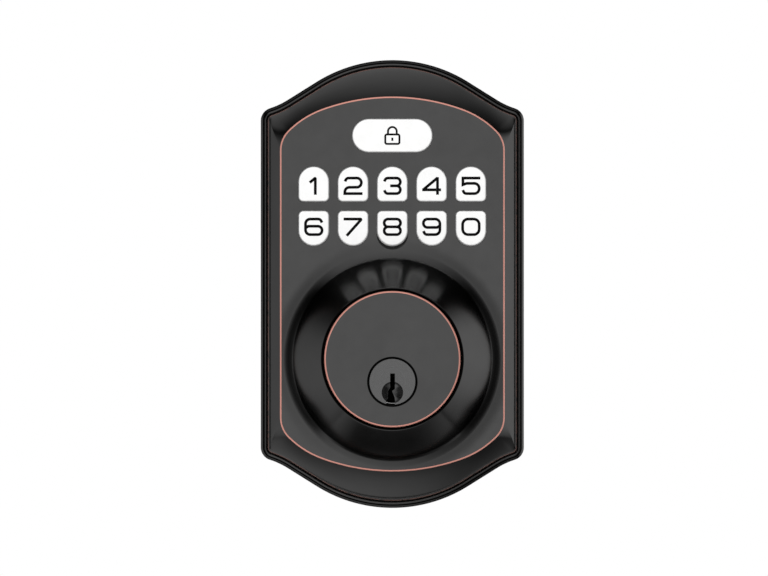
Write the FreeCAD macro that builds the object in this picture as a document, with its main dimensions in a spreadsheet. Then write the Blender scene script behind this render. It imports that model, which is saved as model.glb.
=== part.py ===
import FreeCAD, Part

# Keypad smart lock, the unit that sits on the outside of the door.
#
# Frame: the origin is where the key cylinder's axis crosses the door's outer face.  +X is to the
# right as a person at the door sees it, +Z is up and +Y goes into the door.  Everything ahead of
# the door is given by its height, which is the distance in front of the door face (height = -Y).
# A lower-case name inside a size text is a cell of the Dims sheet.

import math
import os
import re

import Sketcher
from FreeCAD import Placement, Rotation, Vector

DIMENSIONS = [
    # escutcheon outline: an ogee, the same at the top and the bottom
    ("middle_rise", "26.9", "height of the escutcheon's centre above the cylinder axis"),
    ("half_wide", "36.35", "half of the escutcheon's width"),
    ("half_tall", "61.85", "half of the escutcheon's height"),
    ("apex_radius", "39.5", "crown of the ogee"),
    ("slope_angle", "32", "steepest slope of the ogee, in degrees"),
    ("hollow_radius", "22.4", "hollow of the ogee beside the corner"),
    ("brow_angle", "18", "slope where the hollow meets the corner, in degrees"),
    ("corner_radius", "3.6", "outer corner"),
    # raised panel outline: three arcs that tighten towards the side
    ("panel_half_wide", "30.95", "half of the raised panel's width"),
    ("panel_half_tall", "51.66", "half of the raised panel's height"),
    ("crown_radius", "56.6", "panel crown"),
    ("crown_angle", "20", "slope where the crown ends, in degrees"),
    ("shoulder_radius", "25.6", "panel shoulder"),
    ("shoulder_angle", "45", "slope where the shoulder ends, in degrees"),
    # escutcheon heights and walls
    ("gasket_thick", "1.2", "foam gasket between the escutcheon and the door"),
    ("rim_front", "3.0", "outer step of the rim"),
    ("bead_front", "3.9", "inner bead of the rim"),
    ("bead_outer", "0.95", "bead's outer edge, in from the outline"),
    ("bead_inner", "2.0", "bead's inner edge, in from the outline"),
    ("cove_inset", "2.4", "foot of the cove, in from the outline"),
    ("cove_foot", "3.6", "height of the cove's foot"),
    ("cove_top", "18.0", "height of the cove's top"),
    ("panel_front", "18.5", "face of the raised panel"),
    ("edge_chamfer", "0.4", "chamfer round the panel"),
    ("panel_back", "16.3", "inside of the panel wall"),
    ("wall", "2.2", "wall of the casting"),
    ("cavity_share", "0.5", "how far the cavity's mouth stands in, as a share of the cove's width"),
    ("plate_recess_inset", "5.0", "recess for the back plate, in from the outline"),
    ("plate_front", "2.6", "front of the back plate"),
    ("plate_back", "1.4", "rear of the back plate"),
    ("plate_inset", "5.2", "edge of the back plate, in from the outline"),
    ("gasket_outer", "1.2", "gasket's outer edge, in from the outline"),
    ("gasket_inner", "4.4", "gasket's inner edge, in from the outline"),
    # dome round the cylinder: radii, and heights above the panel face
    ("dome_rise", "6.24", "height of the dome's axis above the cylinder axis"),
    ("dome_height", "14.8", "front of the dome above the panel"),
    ("dome_lip_radius", "19.6", "front edge of the cone"),
    ("cone_radius", "26.1", "end of the cone"),
    ("cone_height", "3.55", "end of the cone above the panel"),
    ("brow_radius", "26.6", "end of the rounded shoulder"),
    ("brow_height", "3.1", "end of the rounded shoulder above the panel"),
    ("brow_round", "0.9", "radius of the rounded shoulder"),
    ("skirt_radius", "27.4", "start of the hollow at the dome's foot"),
    ("skirt_height", "1.6", "start of the hollow above the panel"),
    ("skirt_round", "3.2", "radius of the hollow at the dome's foot"),
    ("foot_radius", "30.2", "where the hollow reaches the panel"),
    ("foot_sink", "1.0", "how far the dome's root goes into the panel wall"),
    ("mouth_radius", "19.25", "mouth of the dome"),
    ("mouth_depth", "2.9", "length of the mouth"),
    ("dome_bore_radius", "20.0", "bore of the dome behind the mouth"),
    # keys
    ("key_wide", "8.12", "key width"),
    ("key_tall", "9.38", "key height"),
    ("key_corner", "1.2", "key corner radius"),
    ("key_pitch", "10.82", "key spacing across"),
    ("upper_row", "54.45", "upper row of keys, above the cylinder axis"),
    ("lower_row", "42.25", "lower row of keys, above the cylinder axis"),
    ("oval_wide", "21.85", "lock key width"),
    ("oval_tall", "8.95", "lock key height"),
    ("oval_row", "67.8", "lock key, above the cylinder axis"),
    ("key_front", "19.5", "face of the keys"),
    ("key_back", "15.25", "rear of the keys"),
    ("key_flange", "0.8", "flange that keeps a key in, beyond its outline"),
    ("key_flange_thick", "1.0", "thickness of that flange"),
    ("key_gap", "0.25", "gap round a key in its well"),
    ("key_edge", "0.4", "rounding of a key's front edge"),
    ("notch_drop", "0.85", "thumbnail notch under the middle lower key"),
    ("notch_depth", "1.0", "depth of that notch"),
    # keypad electronics
    ("board_inset", "3.4", "edge of the circuit board, in from the panel outline"),
    ("board_low", "32.6", "lower edge of the circuit board"),
    ("board_front", "11.9", "front of the circuit board"),
    ("board_back", "10.3", "rear of the circuit board"),
    ("membrane_inset", "3.8", "edge of the silicone sheet, in from the panel outline"),
    ("membrane_low", "33.4", "lower edge of the silicone sheet"),
    ("membrane_front", "12.9", "front of the silicone sheet"),
    ("button_root", "3.3", "radius of a silicone button at its root"),
    ("button_top", "2.4", "radius of a silicone button at its top"),
    ("button_front", "15.2", "top of a silicone button"),
    ("button_skin", "0.6", "skin of a silicone button"),
    ("button_roof", "1.0", "roof of a silicone button"),
    ("actuator_radius", "1.1", "pip inside a silicone button"),
    ("actuator_back", "13.1", "end of that pip"),
    ("snap_radius", "2.0", "metal snap dome"),
    ("snap_thick", "0.3", "height of a snap dome"),
    ("led_wide", "1.6", "light width"),
    ("led_tall", "0.8", "light height"),
    ("led_thick", "0.6", "light thickness"),
    ("led_room", "0.2", "clearance round a light"),
    ("led_offset", "4.25", "light above the middle of a digit key"),
    ("oval_led_offset", "7.0", "light beside the middle of the lock key"),
    ("chip_side", "7.0", "controller width and height"),
    ("chip_thick", "1.2", "controller thickness"),
    ("chip_rise", "50.0", "controller above the cylinder axis"),
    ("buzzer_radius", "4.5", "buzzer"),
    ("buzzer_thick", "3.5", "buzzer thickness"),
    ("buzzer_side", "14.0", "buzzer to the right of the axis"),
    ("buzzer_rise", "45.5", "buzzer above the axis"),
    ("socket_wide", "10.0", "cable socket width"),
    ("socket_tall", "4.5", "cable socket height"),
    ("socket_thick", "4.0", "cable socket thickness"),
    ("socket_rise", "37.6", "cable socket above the axis"),
    ("contact_wide", "0.5", "pin slot of the socket"),
    ("contact_pitch", "1.25", "spacing of the socket's pin slots"),
    ("cover_back", "4.8", "rear of the board cover"),
    ("cover_wall", "1.2", "wall of the board cover"),
    ("cable_notch", "9.0", "width of the cable notch in the board cover"),
    # bosses and fasteners
    ("board_boss_radius", "2.4", "boss that carries the circuit board"),
    ("board_screw_side_low", "16.23", "lower board screws, beside the axis"),
    ("board_screw_rise_low", "35.4", "lower board screws, above the axis"),
    ("board_screw_side_high", "17.5", "upper board screws, beside the axis"),
    ("board_screw_rise_high", "69.8", "upper board screws, above the axis"),
    ("board_screw_radius", "1.2", "board screw shank"),
    ("board_head_radius", "2.2", "board screw head"),
    ("board_head_thick", "1.3", "board screw head thickness"),
    ("board_screw_end", "14.6", "tip of a board screw"),
    ("plate_boss_radius", "2.8", "boss that carries the back plate"),
    ("plate_boss_side", "23.5", "back plate bosses, beside the axis"),
    ("plate_boss_high", "63.4", "upper back plate bosses, above the axis"),
    ("plate_boss_low", "-14.0", "lower back plate bosses, below the axis"),
    ("screw_radius", "1.4", "M3 screw shank, drawn plain"),
    ("screw_hole", "1.45", "hole that the shank is drawn in"),
    ("head_radius", "2.6", "M3 pan head"),
    ("plate_head_thick", "1.1", "back plate screw head thickness"),
    ("plate_screw_end", "9.0", "tip of a back plate screw"),
    ("hole_slack", "0.8", "how much deeper a tapped hole is than its screw"),
    ("drive_wide", "0.6", "width of a cross recess"),
    ("drive_long", "2.4", "length of a cross recess"),
    ("drive_deep", "0.7", "depth of a cross recess"),
    ("fit_gap", "0.3", "clearance where one piece passes through another"),
    # cylinder, cap and retainer
    ("cap_radius", "18.75", "cap over the cylinder"),
    ("cap_flange_radius", "19.8", "flange that keeps the cap in the dome"),
    ("cap_flange_front", "30.3", "front of that flange"),
    ("cap_back", "29.3", "rear of the cap"),
    ("cap_chamfer", "0.5", "chamfer round the cap"),
    ("plug_well_radius", "6.87", "well in the cap round the plug's head"),
    ("plug_well_depth", "1.0", "depth of that well"),
    ("plug_bore", "6.05", "bore that the plug turns in"),
    ("shield_radius", "10.0", "hardened plate against drilling"),
    ("shield_thick", "1.45", "thickness of that plate"),
    ("shield_room", "0.05", "clearance round that plate"),
    ("collar_back", "25.8", "rear of the cylinder's collar"),
    ("barrel_radius", "9.5", "barrel of the cylinder"),
    ("barrel_back", "1.6", "rear of the barrel"),
    ("tower_wide", "8.4", "width of the pin tower"),
    ("tower_high", "18.0", "top of the pin tower"),
    ("tower_back", "3.0", "rear of the pin tower"),
    ("retainer_front", "25.8", "front of the retainer's tube"),
    ("retainer_back", "14.2", "rear of the retainer's flange"),
    ("retainer_radius", "26.5", "flange of the retainer"),
    ("tube_radius", "19.8", "tube of the retainer"),
    ("tube_bore", "17.6", "bore of the retainer"),
    ("retainer_screw_out", "16.0", "retainer screws, across and up from the dome's axis"),
    ("retainer_head_thick", "1.6", "retainer screw head thickness"),
    ("retainer_screw_end", "20.0", "tip of a retainer screw"),
    # plug, pins and tailpiece
    ("plug_radius", "6.0", "plug"),
    ("plug_head_radius", "6.3", "head of the plug"),
    ("plug_head_thick", "0.8", "thickness of the plug's head"),
    ("plug_end", "-2.5", "rear end of the plug, behind the door face"),
    ("keyway_end", "4.0", "rear end of the keyway"),
    ("scoop_radius", "3.65", "ball radius of the scoop that guides the key in"),
    ("scoop_mouth", "2.95", "radius of the scoop at the plug's face"),
    ("scoop_drop", "2.9", "scoop below the plug's axis"),
    ("chamber_radius", "1.5", "pin chamber"),
    ("pin_radius", "1.42", "pins"),
    ("pin_first", "23.5", "height of the front pin"),
    ("pin_pitch", "3.81", "spacing of the pins"),
    ("chamber_low", "-0.5", "lower end of a pin chamber"),
    ("key_pin_top", "5.8", "top of the key pins, at the shear line"),
    ("pin_tip", "0.7", "radius of a key pin's tip"),
    ("pin_taper", "0.8", "length of a key pin's tip"),
    ("driver_low", "6.1", "lower end of the driver pins"),
    ("driver_high", "10.0", "upper end of the driver pins"),
    ("cover_strip_low", "17.0", "underside of the strip over the pin chambers"),
    ("cover_strip_wide", "5.0", "width of that strip"),
    ("strip_margin", "2.2", "strip beyond the first and last pin"),
    ("spring_radius", "1.1", "pin spring, middle of the wire"),
    ("spring_wire", "0.2", "radius of the spring wire"),
    ("spring_pitch", "1.2", "pitch of a pin spring"),
    ("groove_radius", "5.0", "clip groove in the plug"),
    ("groove_front", "1.5", "front of the clip groove"),
    ("clip_thick", "0.8", "tailpiece clip"),
    ("clip_radius", "8.5", "outer radius of the clip"),
    ("clip_mouth", "6.0", "opening of the clip"),
    ("tail_thick", "2.0", "tailpiece blade thickness"),
    ("tail_wide", "8.0", "tailpiece blade width"),
    ("tail_front", "1.9", "front end of the tailpiece"),
    ("tail_end", "-56.0", "rear end of the tailpiece"),
    ("tail_slot", "2.1", "slot in the plug for the tailpiece"),
    ("cross_pin_radius", "0.75", "pin through the plug and the tailpiece"),
    ("cross_pin_long", "10.8", "length of that pin"),
    ("cross_pin_height", "-1.0", "height of that pin"),
    ("turning_gap", "0.05", "clearance of fitted pieces"),
    # door side
    ("post_side", "22.0", "mounting posts, beside the axis"),
    ("post_radius", "3.5", "mounting post"),
    ("post_thread", "2.1", "tapped bore of a mounting post"),
    ("post_bore_depth", "12.0", "depth of that bore"),
    ("stud_radius", "1.7", "stud of a mounting post"),
    ("stud_front", "20.0", "tip of that stud"),
    ("stud_hole", "1.85", "hole for the stud in the retainer"),
    ("post_hole", "3.8", "hole for a post in the back plate"),
    ("barrel_hole", "10.0", "hole for the barrel in the back plate"),
    ("grommet_drop", "-16.5", "cable grommet, below the axis"),
    ("grommet_neck", "4.0", "neck of the grommet"),
    ("grommet_lip", "4.9", "lips of the grommet"),
    ("grommet_bore", "2.5", "cable bore of the grommet"),
    ("grommet_lip_thick", "1.0", "thickness of a grommet lip"),
]

DIGIT_ROWS = {
    "upper_row": ("1", "2", "3", "4", "5"),
    "lower_row": ("6", "7", "8", "9", "0"),
}
PINS = 5
SOCKET_CONTACTS = 6
KEY_PIN_LOWS = (1.0, 1.9, 1.3, 2.2, 1.6)    # lower ends of the key pins: one key's cuts
COVE_SECTIONS = 6
RUN_POINTS = 13                             # points along half of a top run of the cove
CORNER_POINTS = 5                           # points round a corner of the cove

# Keyway: one warded slot, as (across, up) from the plug's axis.
KEYWAY = (
    (-0.6, 2.3), (0.7, 2.3), (0.7, -2.0), (-0.1, -2.5), (0.7, -4.5), (0.7, -6.6),
    (-1.7, -6.6), (-1.7, -5.1), (-1.2, -4.5), (-1.2, -2.6), (-0.6, -1.6),
)

ALONG_Y = Rotation(Vector(1, 0, 0), -90)    # turns a cylinder's own +Z to +Y
ALONG_X = Rotation(Vector(0, 1, 0), 90)     # turns a cylinder's own +Z to +X
UPRIGHT = Rotation()
LEVEL = 1e-4                                # how far from level a front edge may lie

doc = FreeCAD.newDocument("KeypadLock")
sheet = doc.addObject("Spreadsheet::Sheet", "Dims")
for row, (alias, size, meaning) in enumerate(DIMENSIONS, start=1):
    sheet.set(f"A{row}", size)
    sheet.set(f"B{row}", meaning)
    sheet.setAlias(f"A{row}", alias)
doc.recompute()

subparts = []


# ---------------------------------------------------------------- sizes and simple solids

def bound(text):
    """The size text with each name pointed at its cell."""
    return re.sub(r"\b[a-z]\w*\b(?!\()", r"Dims.\g<0>", text)


def value(text):
    """The number that a size text gives now."""
    return float(sheet.evalExpression(bound(text)))


def place(piece, side, height, rise, rotation=UPRIGHT):
    """Put a piece's own origin at `side` across, `height` ahead of the door and `rise` up."""
    piece.Placement = Placement(Vector(value(side), -value(height), value(rise)), rotation)
    piece.setExpression("Placement.Base.x", bound(side))
    piece.setExpression("Placement.Base.y", bound(f"-({height})"))
    piece.setExpression("Placement.Base.z", bound(rise))
    return piece


def rod(name, radius, front, back, side="0", rise="0"):
    """A cylinder along Y between two heights."""
    piece = doc.addObject("Part::Cylinder", name)
    piece.setExpression("Radius", bound(radius))
    piece.setExpression("Height", bound(f"{front} - ({back})"))
    return place(piece, side, front, rise, ALONG_Y)


def taper(name, front_radius, back_radius, front, back, side="0", rise="0"):
    """A cone frustum along Y between two heights."""
    piece = doc.addObject("Part::Cone", name)
    piece.setExpression("Radius1", bound(front_radius))
    piece.setExpression("Radius2", bound(back_radius))
    piece.setExpression("Height", bound(f"{front} - ({back})"))
    return place(piece, side, front, rise, ALONG_Y)


def post(name, radius, low, high, side, height):
    """A cylinder along Z between two rises."""
    piece = doc.addObject("Part::Cylinder", name)
    piece.setExpression("Radius", bound(radius))
    piece.setExpression("Height", bound(f"{high} - ({low})"))
    return place(piece, side, height, low)


def block(name, wide, tall, front, back, side="0", rise="0"):
    """A box between two heights, centred on `side` and `rise`."""
    piece = doc.addObject("Part::Box", name)
    piece.setExpression("Length", bound(wide))
    piece.setExpression("Width", bound(f"{front} - ({back})"))
    piece.setExpression("Height", bound(tall))
    return place(piece, f"{side} - ({wide}) / 2", front, f"{rise} - ({tall}) / 2")


def fuse(name, pieces):
    """One solid from pieces that touch, or one tool from pieces that don't."""
    joined = doc.addObject("Part::MultiFuse", name)
    joined.Shapes = pieces
    return joined


def cut(name, base, tools):
    """The base with every tool taken out of it."""
    result = doc.addObject("Part::Cut", name)
    result.Base = base
    result.Tool = tools[0] if len(tools) == 1 else fuse(f"{name}_tools", tools)
    return result


def together(name, pieces):
    """Separate solids that share one node."""
    group = doc.addObject("Part::Compound", name)
    group.Links = pieces
    return group


def subpart(label, piece):
    """Name a finished piece and keep it for export."""
    piece.Label = label
    subparts.append(piece)
    return piece


# ---------------------------------------------------------------- outlines

def point(across, up):
    return Vector(across, 0, up)


def outward(angle):
    """Unit vector at `angle` degrees from straight up, leaning to the right."""
    turn = math.radians(angle)
    return point(math.sin(turn), math.cos(turn))


def arc(centre, radius, start, end):
    """Arc between two such angles; a negative radius bulges the other way."""
    ends = [centre + outward(angle) * radius for angle in (start, (start + end) / 2, end)]
    return Part.Arc(*ends).toShape()


def line(start, end):
    return Part.LineSegment(start, end).toShape()


def ogee_quarter(inset):
    """Upper right quarter of the escutcheon's outline moved in by `inset`: top run and corner."""
    slope, brow = value("slope_angle"), value("brow_angle")
    apex, hollow, corner = value("apex_radius"), value("hollow_radius"), value("corner_radius")
    half_wide = value("half_wide")
    slope_side = (half_wide - apex * outward(slope).x - corner * (1 - outward(brow).x)
                  - hollow * (outward(slope).x - outward(brow).x))
    slope_drop = slope_side * math.tan(math.radians(slope))

    apex_centre = point(0, value("middle_rise + half_tall") - apex)
    slope_end = apex_centre + outward(slope) * apex + point(slope_side, -slope_drop)
    hollow_centre = slope_end + outward(slope) * hollow
    corner_centre = hollow_centre - outward(brow) * (hollow + corner)

    rounded = inset < corner
    if not rounded:
        brow = math.degrees(math.asin((hollow_centre.x - half_wide + inset) / (hollow + inset)))
    run = [
        arc(apex_centre, apex - inset, 0, slope),
        line(apex_centre + outward(slope) * (apex - inset), slope_end - outward(slope) * inset),
        arc(hollow_centre, -(hollow + inset), slope, brow),
    ]
    turn = [arc(corner_centre, corner - inset, brow, 90)] if rounded else []
    return run, turn


def panel_quarter(inset):
    """Upper right quarter of the raised panel's outline moved in by `inset`."""
    crown_end, shoulder_end = value("crown_angle"), value("shoulder_angle")
    crown, shoulder = value("crown_radius"), value("shoulder_radius")
    crown_centre = point(0, value("middle_rise + panel_half_tall") - crown)
    shoulder_centre = crown_centre + outward(crown_end) * (crown - shoulder)
    room = value("panel_half_wide") - shoulder_centre.x - shoulder * outward(shoulder_end).x
    corner = room / (1 - outward(shoulder_end).x)
    corner_centre = shoulder_centre + outward(shoulder_end) * (shoulder - corner)
    run = [
        arc(crown_centre, crown - inset, 0, crown_end),
        arc(shoulder_centre, shoulder - inset, crown_end, shoulder_end),
    ]
    return run, [arc(corner_centre, corner - inset, shoulder_end, 90)]


def mirrored(edges, across):
    """The edges mirrored left to right, or top to bottom about the escutcheon's middle."""
    normal = Vector(1, 0, 0) if across else Vector(0, 0, 1)
    return [edge.mirror(point(0, value("middle_rise")), normal) for edge in edges]


def closed_wire(edges):
    return Part.Wire(Part.sortEdges(edges)[0])


def outline(quarter):
    """Closed outline from its upper right quarter."""
    run, turn = quarter
    upper = run + turn + mirrored(run + turn, across=True)
    bounds = Part.Compound(upper).BoundBox
    low, middle = bounds.ZMin, value("middle_rise")
    sides = [line(point(side, low), point(side, 2 * middle - low)) for side in (bounds.XMin, bounds.XMax)]
    return closed_wire(upper + mirrored(upper, across=False) + sides)


def arch(inset, low):
    """The panel's outline moved in by `inset` and closed by a level edge at `low`."""
    run, turn = panel_quarter(inset)
    upper = run + turn + mirrored(run + turn, across=True)
    bounds = Part.Compound(upper).BoundBox
    sides = [line(point(side, low), point(side, bounds.ZMin)) for side in (bounds.XMin, bounds.XMax)]
    return closed_wire(upper + sides + [line(point(bounds.XMin, low), point(bounds.XMax, low))])


def slab(name, wires, front, back):
    """A plate between two heights, of an outline and any holes in it."""
    section = doc.addObject("Part::Feature", f"{name}_face")
    section.Shape = Part.makeFace(wires, "Part::FaceMakerBullseye")
    place(section, "0", back, "0")
    plate = doc.addObject("Part::Extrusion", name)
    plate.Base = section
    plate.DirMode = "Custom"
    plate.Dir = Vector(0, -1, 0)
    plate.Solid = True
    plate.setExpression("LengthFwd", bound(f"{front} - ({back})"))
    return plate


# ---------------------------------------------------------------- sketches

def new_sketch(body, name, role):
    """A sketch on one of its body's own origin planes."""
    plane = next(feature for feature in body.Origin.OriginFeatures if feature.Role == role)
    sketch = body.newObject("Sketcher::SketchObject", name)
    sketch.AttachmentSupport = [(plane, "")]
    sketch.MapMode = "FlatFace"
    return sketch


def dimension(sketch, text, *constraint):
    """Add a constraint whose size follows the sheet."""
    index = sketch.addConstraint(Sketcher.Constraint(*constraint, value(text)))
    sketch.setExpression(f"Constraints[{index}]", bound(text))


def sketch_arc(centre, radius, start, end):
    """Arc in sketch coordinates, counter-clockwise between two angles from the sketch's x axis."""
    circle = Part.Circle(Vector(*centre, 0), Vector(0, 0, 1), radius)
    return Part.ArcOfCircle(circle, math.radians(start), math.radians(end))


def chain(sketch, count):
    """Join a loop of elements end to start, smoothly."""
    for index in range(count):
        sketch.addConstraint(Sketcher.Constraint("Tangent", index, 2, (index + 1) % count, 1))


def tombstone(sketch, wide, tall, corner):
    """Digit key outline: a half-round top on a square foot with rounded corners."""
    half, foot, round_ = value(wide) / 2, value(tall) / 2, value(corner)
    crown = foot - half
    sketch.addGeometry([
        Part.LineSegment(Vector(half, round_ - foot, 0), Vector(half, crown, 0)),
        sketch_arc((0, crown), half, 0, 180),
        Part.LineSegment(Vector(-half, crown, 0), Vector(-half, round_ - foot, 0)),
        sketch_arc((round_ - half, round_ - foot), round_, 180, 270),
        Part.LineSegment(Vector(round_ - half, -foot, 0), Vector(half - round_, -foot, 0)),
        sketch_arc((half - round_, round_ - foot), round_, 270, 360),
    ])
    chain(sketch, 6)
    sketch.addConstraint([
        Sketcher.Constraint("Vertical", 0),
        Sketcher.Constraint("Vertical", 2),
        Sketcher.Constraint("Horizontal", 4),
        Sketcher.Constraint("Equal", 3, 5),
        Sketcher.Constraint("PointOnObject", 1, 3, -2),
    ])
    dimension(sketch, f"({wide}) / 2", "Radius", 1)
    dimension(sketch, corner, "Radius", 3)
    dimension(sketch, f"({tall}) / 2", "DistanceY", 4, 1, -1, 1)
    dimension(sketch, f"({tall}) - ({wide}) / 2", "DistanceY", 4, 1, 1, 3)


def oval(sketch, wide, tall):
    """Lock key outline: a bar with full-round ends."""
    end = value(tall) / 2
    reach = value(wide) / 2 - end
    sketch.addGeometry([
        sketch_arc((reach, 0), end, -90, 90),
        Part.LineSegment(Vector(reach, end, 0), Vector(-reach, end, 0)),
        sketch_arc((-reach, 0), end, 90, 270),
        Part.LineSegment(Vector(-reach, -end, 0), Vector(reach, -end, 0)),
    ])
    chain(sketch, 4)
    sketch.addConstraint([
        Sketcher.Constraint("Horizontal", 1),
        Sketcher.Constraint("Symmetric", 0, 3, 2, 3, -1, 1),
    ])
    dimension(sketch, f"({tall}) / 2", "Radius", 0)
    dimension(sketch, f"(({wide}) - ({tall})) / 2", "DistanceX", -1, 1, 0, 3)


def draw_key(sketch, is_oval, grow):
    """A key's outline, grown all round by `grow`."""
    if is_oval:
        oval(sketch, f"oval_wide + 2 * {grow}", f"oval_tall + 2 * {grow}")
    else:
        tombstone(sketch, f"key_wide + 2 * {grow}", f"key_tall + 2 * {grow}", f"key_corner + {grow}")


def pad(body, sketch, name, thick):
    """Pad a sketch forwards, away from the door."""
    feature = body.newObject("PartDesign::Pad", name)
    feature.Profile = sketch
    feature.setExpression("Length", bound(thick))
    sketch.Visibility = False
    return feature


def turned(name, profile, side="0", rise="0"):
    """A body turned about Y.  The profile's corners are (radius, height) texts; a third entry is the
    radius of the arc to the next corner, negative where it hollows the body."""
    body = doc.addObject("PartDesign::Body", name)
    sketch = new_sketch(body, f"{name}_profile", "YZ_Plane")
    corners = [Vector(-value(entry[1]), value(entry[0]), 0) for entry in profile]
    count = len(corners)
    for index, (start, entry) in enumerate(zip(corners, profile)):
        end = corners[(index + 1) % count]
        if len(entry) == 2:
            sketch.addGeometry(Part.LineSegment(start, end))
            continue
        radius = value(entry[2])
        chord = end - start
        bow = Vector(-chord.y, chord.x, 0).normalize() * math.copysign(
            abs(radius) - math.sqrt(radius ** 2 - (chord.Length / 2) ** 2), radius)
        sketch.addGeometry(Part.Arc(start, (start + end) / 2 + bow, end))
    for index, entry in enumerate(profile):
        reverse = sketch.Geometry[index].TypeId == "Part::GeomArcOfCircle" and value(entry[2]) > 0
        first, last = (2, 1) if reverse else (1, 2)
        following = (index + 1) % count
        next_reverse = len(profile[following]) == 3 and value(profile[following][2]) > 0
        sketch.addConstraint(
            Sketcher.Constraint("Coincident", index, last, following, 2 if next_reverse else 1))
        dimension(sketch, f"-({entry[1]})", "DistanceX", -1, 1, index, first)
        dimension(sketch, entry[0], "DistanceY", -1, 1, index, first)
        if len(entry) == 3:
            dimension(sketch, f"abs({entry[2]})", "Radius", index)
    spin = body.newObject("PartDesign::Revolution", f"{name}_turn")
    spin.Profile = sketch
    spin.ReferenceAxis = (sketch, ["H_Axis"])
    spin.Angle = 360
    return place(body, side, "0", rise)


def hole_sites(side, rises):
    """A mirrored pair of sites at each rise."""
    return [(f"{sign}{side}", rise) for rise in rises for sign in ("", "-")]


BOARD_SCREWS = (hole_sites("board_screw_side_low", ["board_screw_rise_low"])
                + hole_sites("board_screw_side_high", ["board_screw_rise_high"]))
PLATE_SCREWS = hole_sites("plate_boss_side", ["plate_boss_high", "plate_boss_low"])
RETAINER_SCREWS = hole_sites(
    "retainer_screw_out", ["dome_rise + retainer_screw_out", "dome_rise - retainer_screw_out"])
POSTS = hole_sites("post_side", ["0"])
KEYS = [
    (digit, f"{column - 2} * key_pitch", row)
    for row, digits in DIGIT_ROWS.items() for column, digit in enumerate(digits)
]
BUTTON_SITES = [(side, rise) for digit, side, rise in KEYS] + [("0", "oval_row")]
LED_SITES = [(side, f"{rise} + led_offset") for digit, side, rise in KEYS] + [
    ("oval_led_offset", "oval_row"), ("-oval_led_offset", "oval_row")]
PIN_HEIGHTS = [f"pin_first - {index} * pin_pitch" for index in range(PINS)]
PIN_HOLE = ("cross_pin_radius + turning_gap", "cross_pin_long + 2 * foot_sink")


def rods(name, radius, front, back, sites):
    """The same rod at each site."""
    return [rod(f"{name}_{index}", radius, front, back, side, rise)
            for index, (side, rise) in enumerate(sites, start=1)]


# ---------------------------------------------------------------- escutcheon

def stations(quarter):
    """Points evenly spaced along the top run and round the corner of an upper right quarter."""
    run, turn = quarter
    along = Part.Wire(run).discretize(RUN_POINTS)
    if not turn:
        return along, [along[-1]] * CORNER_POINTS
    return along, Part.Wire(turn).discretize(CORNER_POINTS)


def blended_outline(rim_inset, panel_inset, share, height):
    """Outline part of the way from the rim to the panel, at a height: eight edges, two of them straight."""
    rim = stations(ogee_quarter(rim_inset))
    panel = stations(panel_quarter(panel_inset))
    run, corner = ([near * (1 - share) + far * share for near, far in zip(*pair)]
                   for pair in zip(rim, panel))
    middle = value("middle_rise")

    def flip(points, left, lower):
        return [point(-p.x if left else p.x, 2 * middle - p.z if lower else p.z) for p in points]

    def curve(points):
        spline = Part.BSplineCurve()
        spline.interpolate(points)
        return spline.toShape()

    whole_run = flip(run, True, False)[::-1] + run[1:]
    loop = [
        curve(whole_run),
        curve(corner),
        line(corner[-1], flip(corner, False, True)[-1]),
        curve(flip(corner, False, True)[::-1]),
        curve(flip(whole_run, False, True)[::-1]),
        curve(flip(corner, True, True)),
        line(flip(corner, True, True)[-1], flip(corner, True, False)[-1]),
        curve(flip(corner, True, False)[::-1]),
    ]
    wire = Part.Wire(loop)
    wire.translate(Vector(0, -height, 0))
    return wire


def lofted(name, wires, ruled):
    """A solid through outlines at rising heights."""
    piece = doc.addObject("Part::Feature", name)
    piece.Shape = Part.makeLoft(wires, True, ruled)
    return piece


def cove_outline(turn):
    """The cove is a quarter of an ellipse: `turn` runs from 0 at the rim to 90 at the panel."""
    angle = math.radians(turn)
    foot, top = value("cove_foot"), value("cove_top")
    height = foot + (top - foot) * (1 - math.cos(angle))
    return blended_outline(value("cove_inset"), 0, math.sin(angle), height)


def key_blank(name, is_oval, grow, front, back, side, rise, upside_down=False):
    """A key-shaped block between two heights: a well, when it is grown by the gap."""
    body = doc.addObject("PartDesign::Body", name)
    sketch = new_sketch(body, f"{name}_outline", "XZ_Plane")
    draw_key(sketch, is_oval, grow)
    pad(body, sketch, f"{name}_pad", f"{front} - ({back})")
    return place(body, side, back, rise, Rotation(Vector(0, 1, 0), 180 if upside_down else 0))


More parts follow.
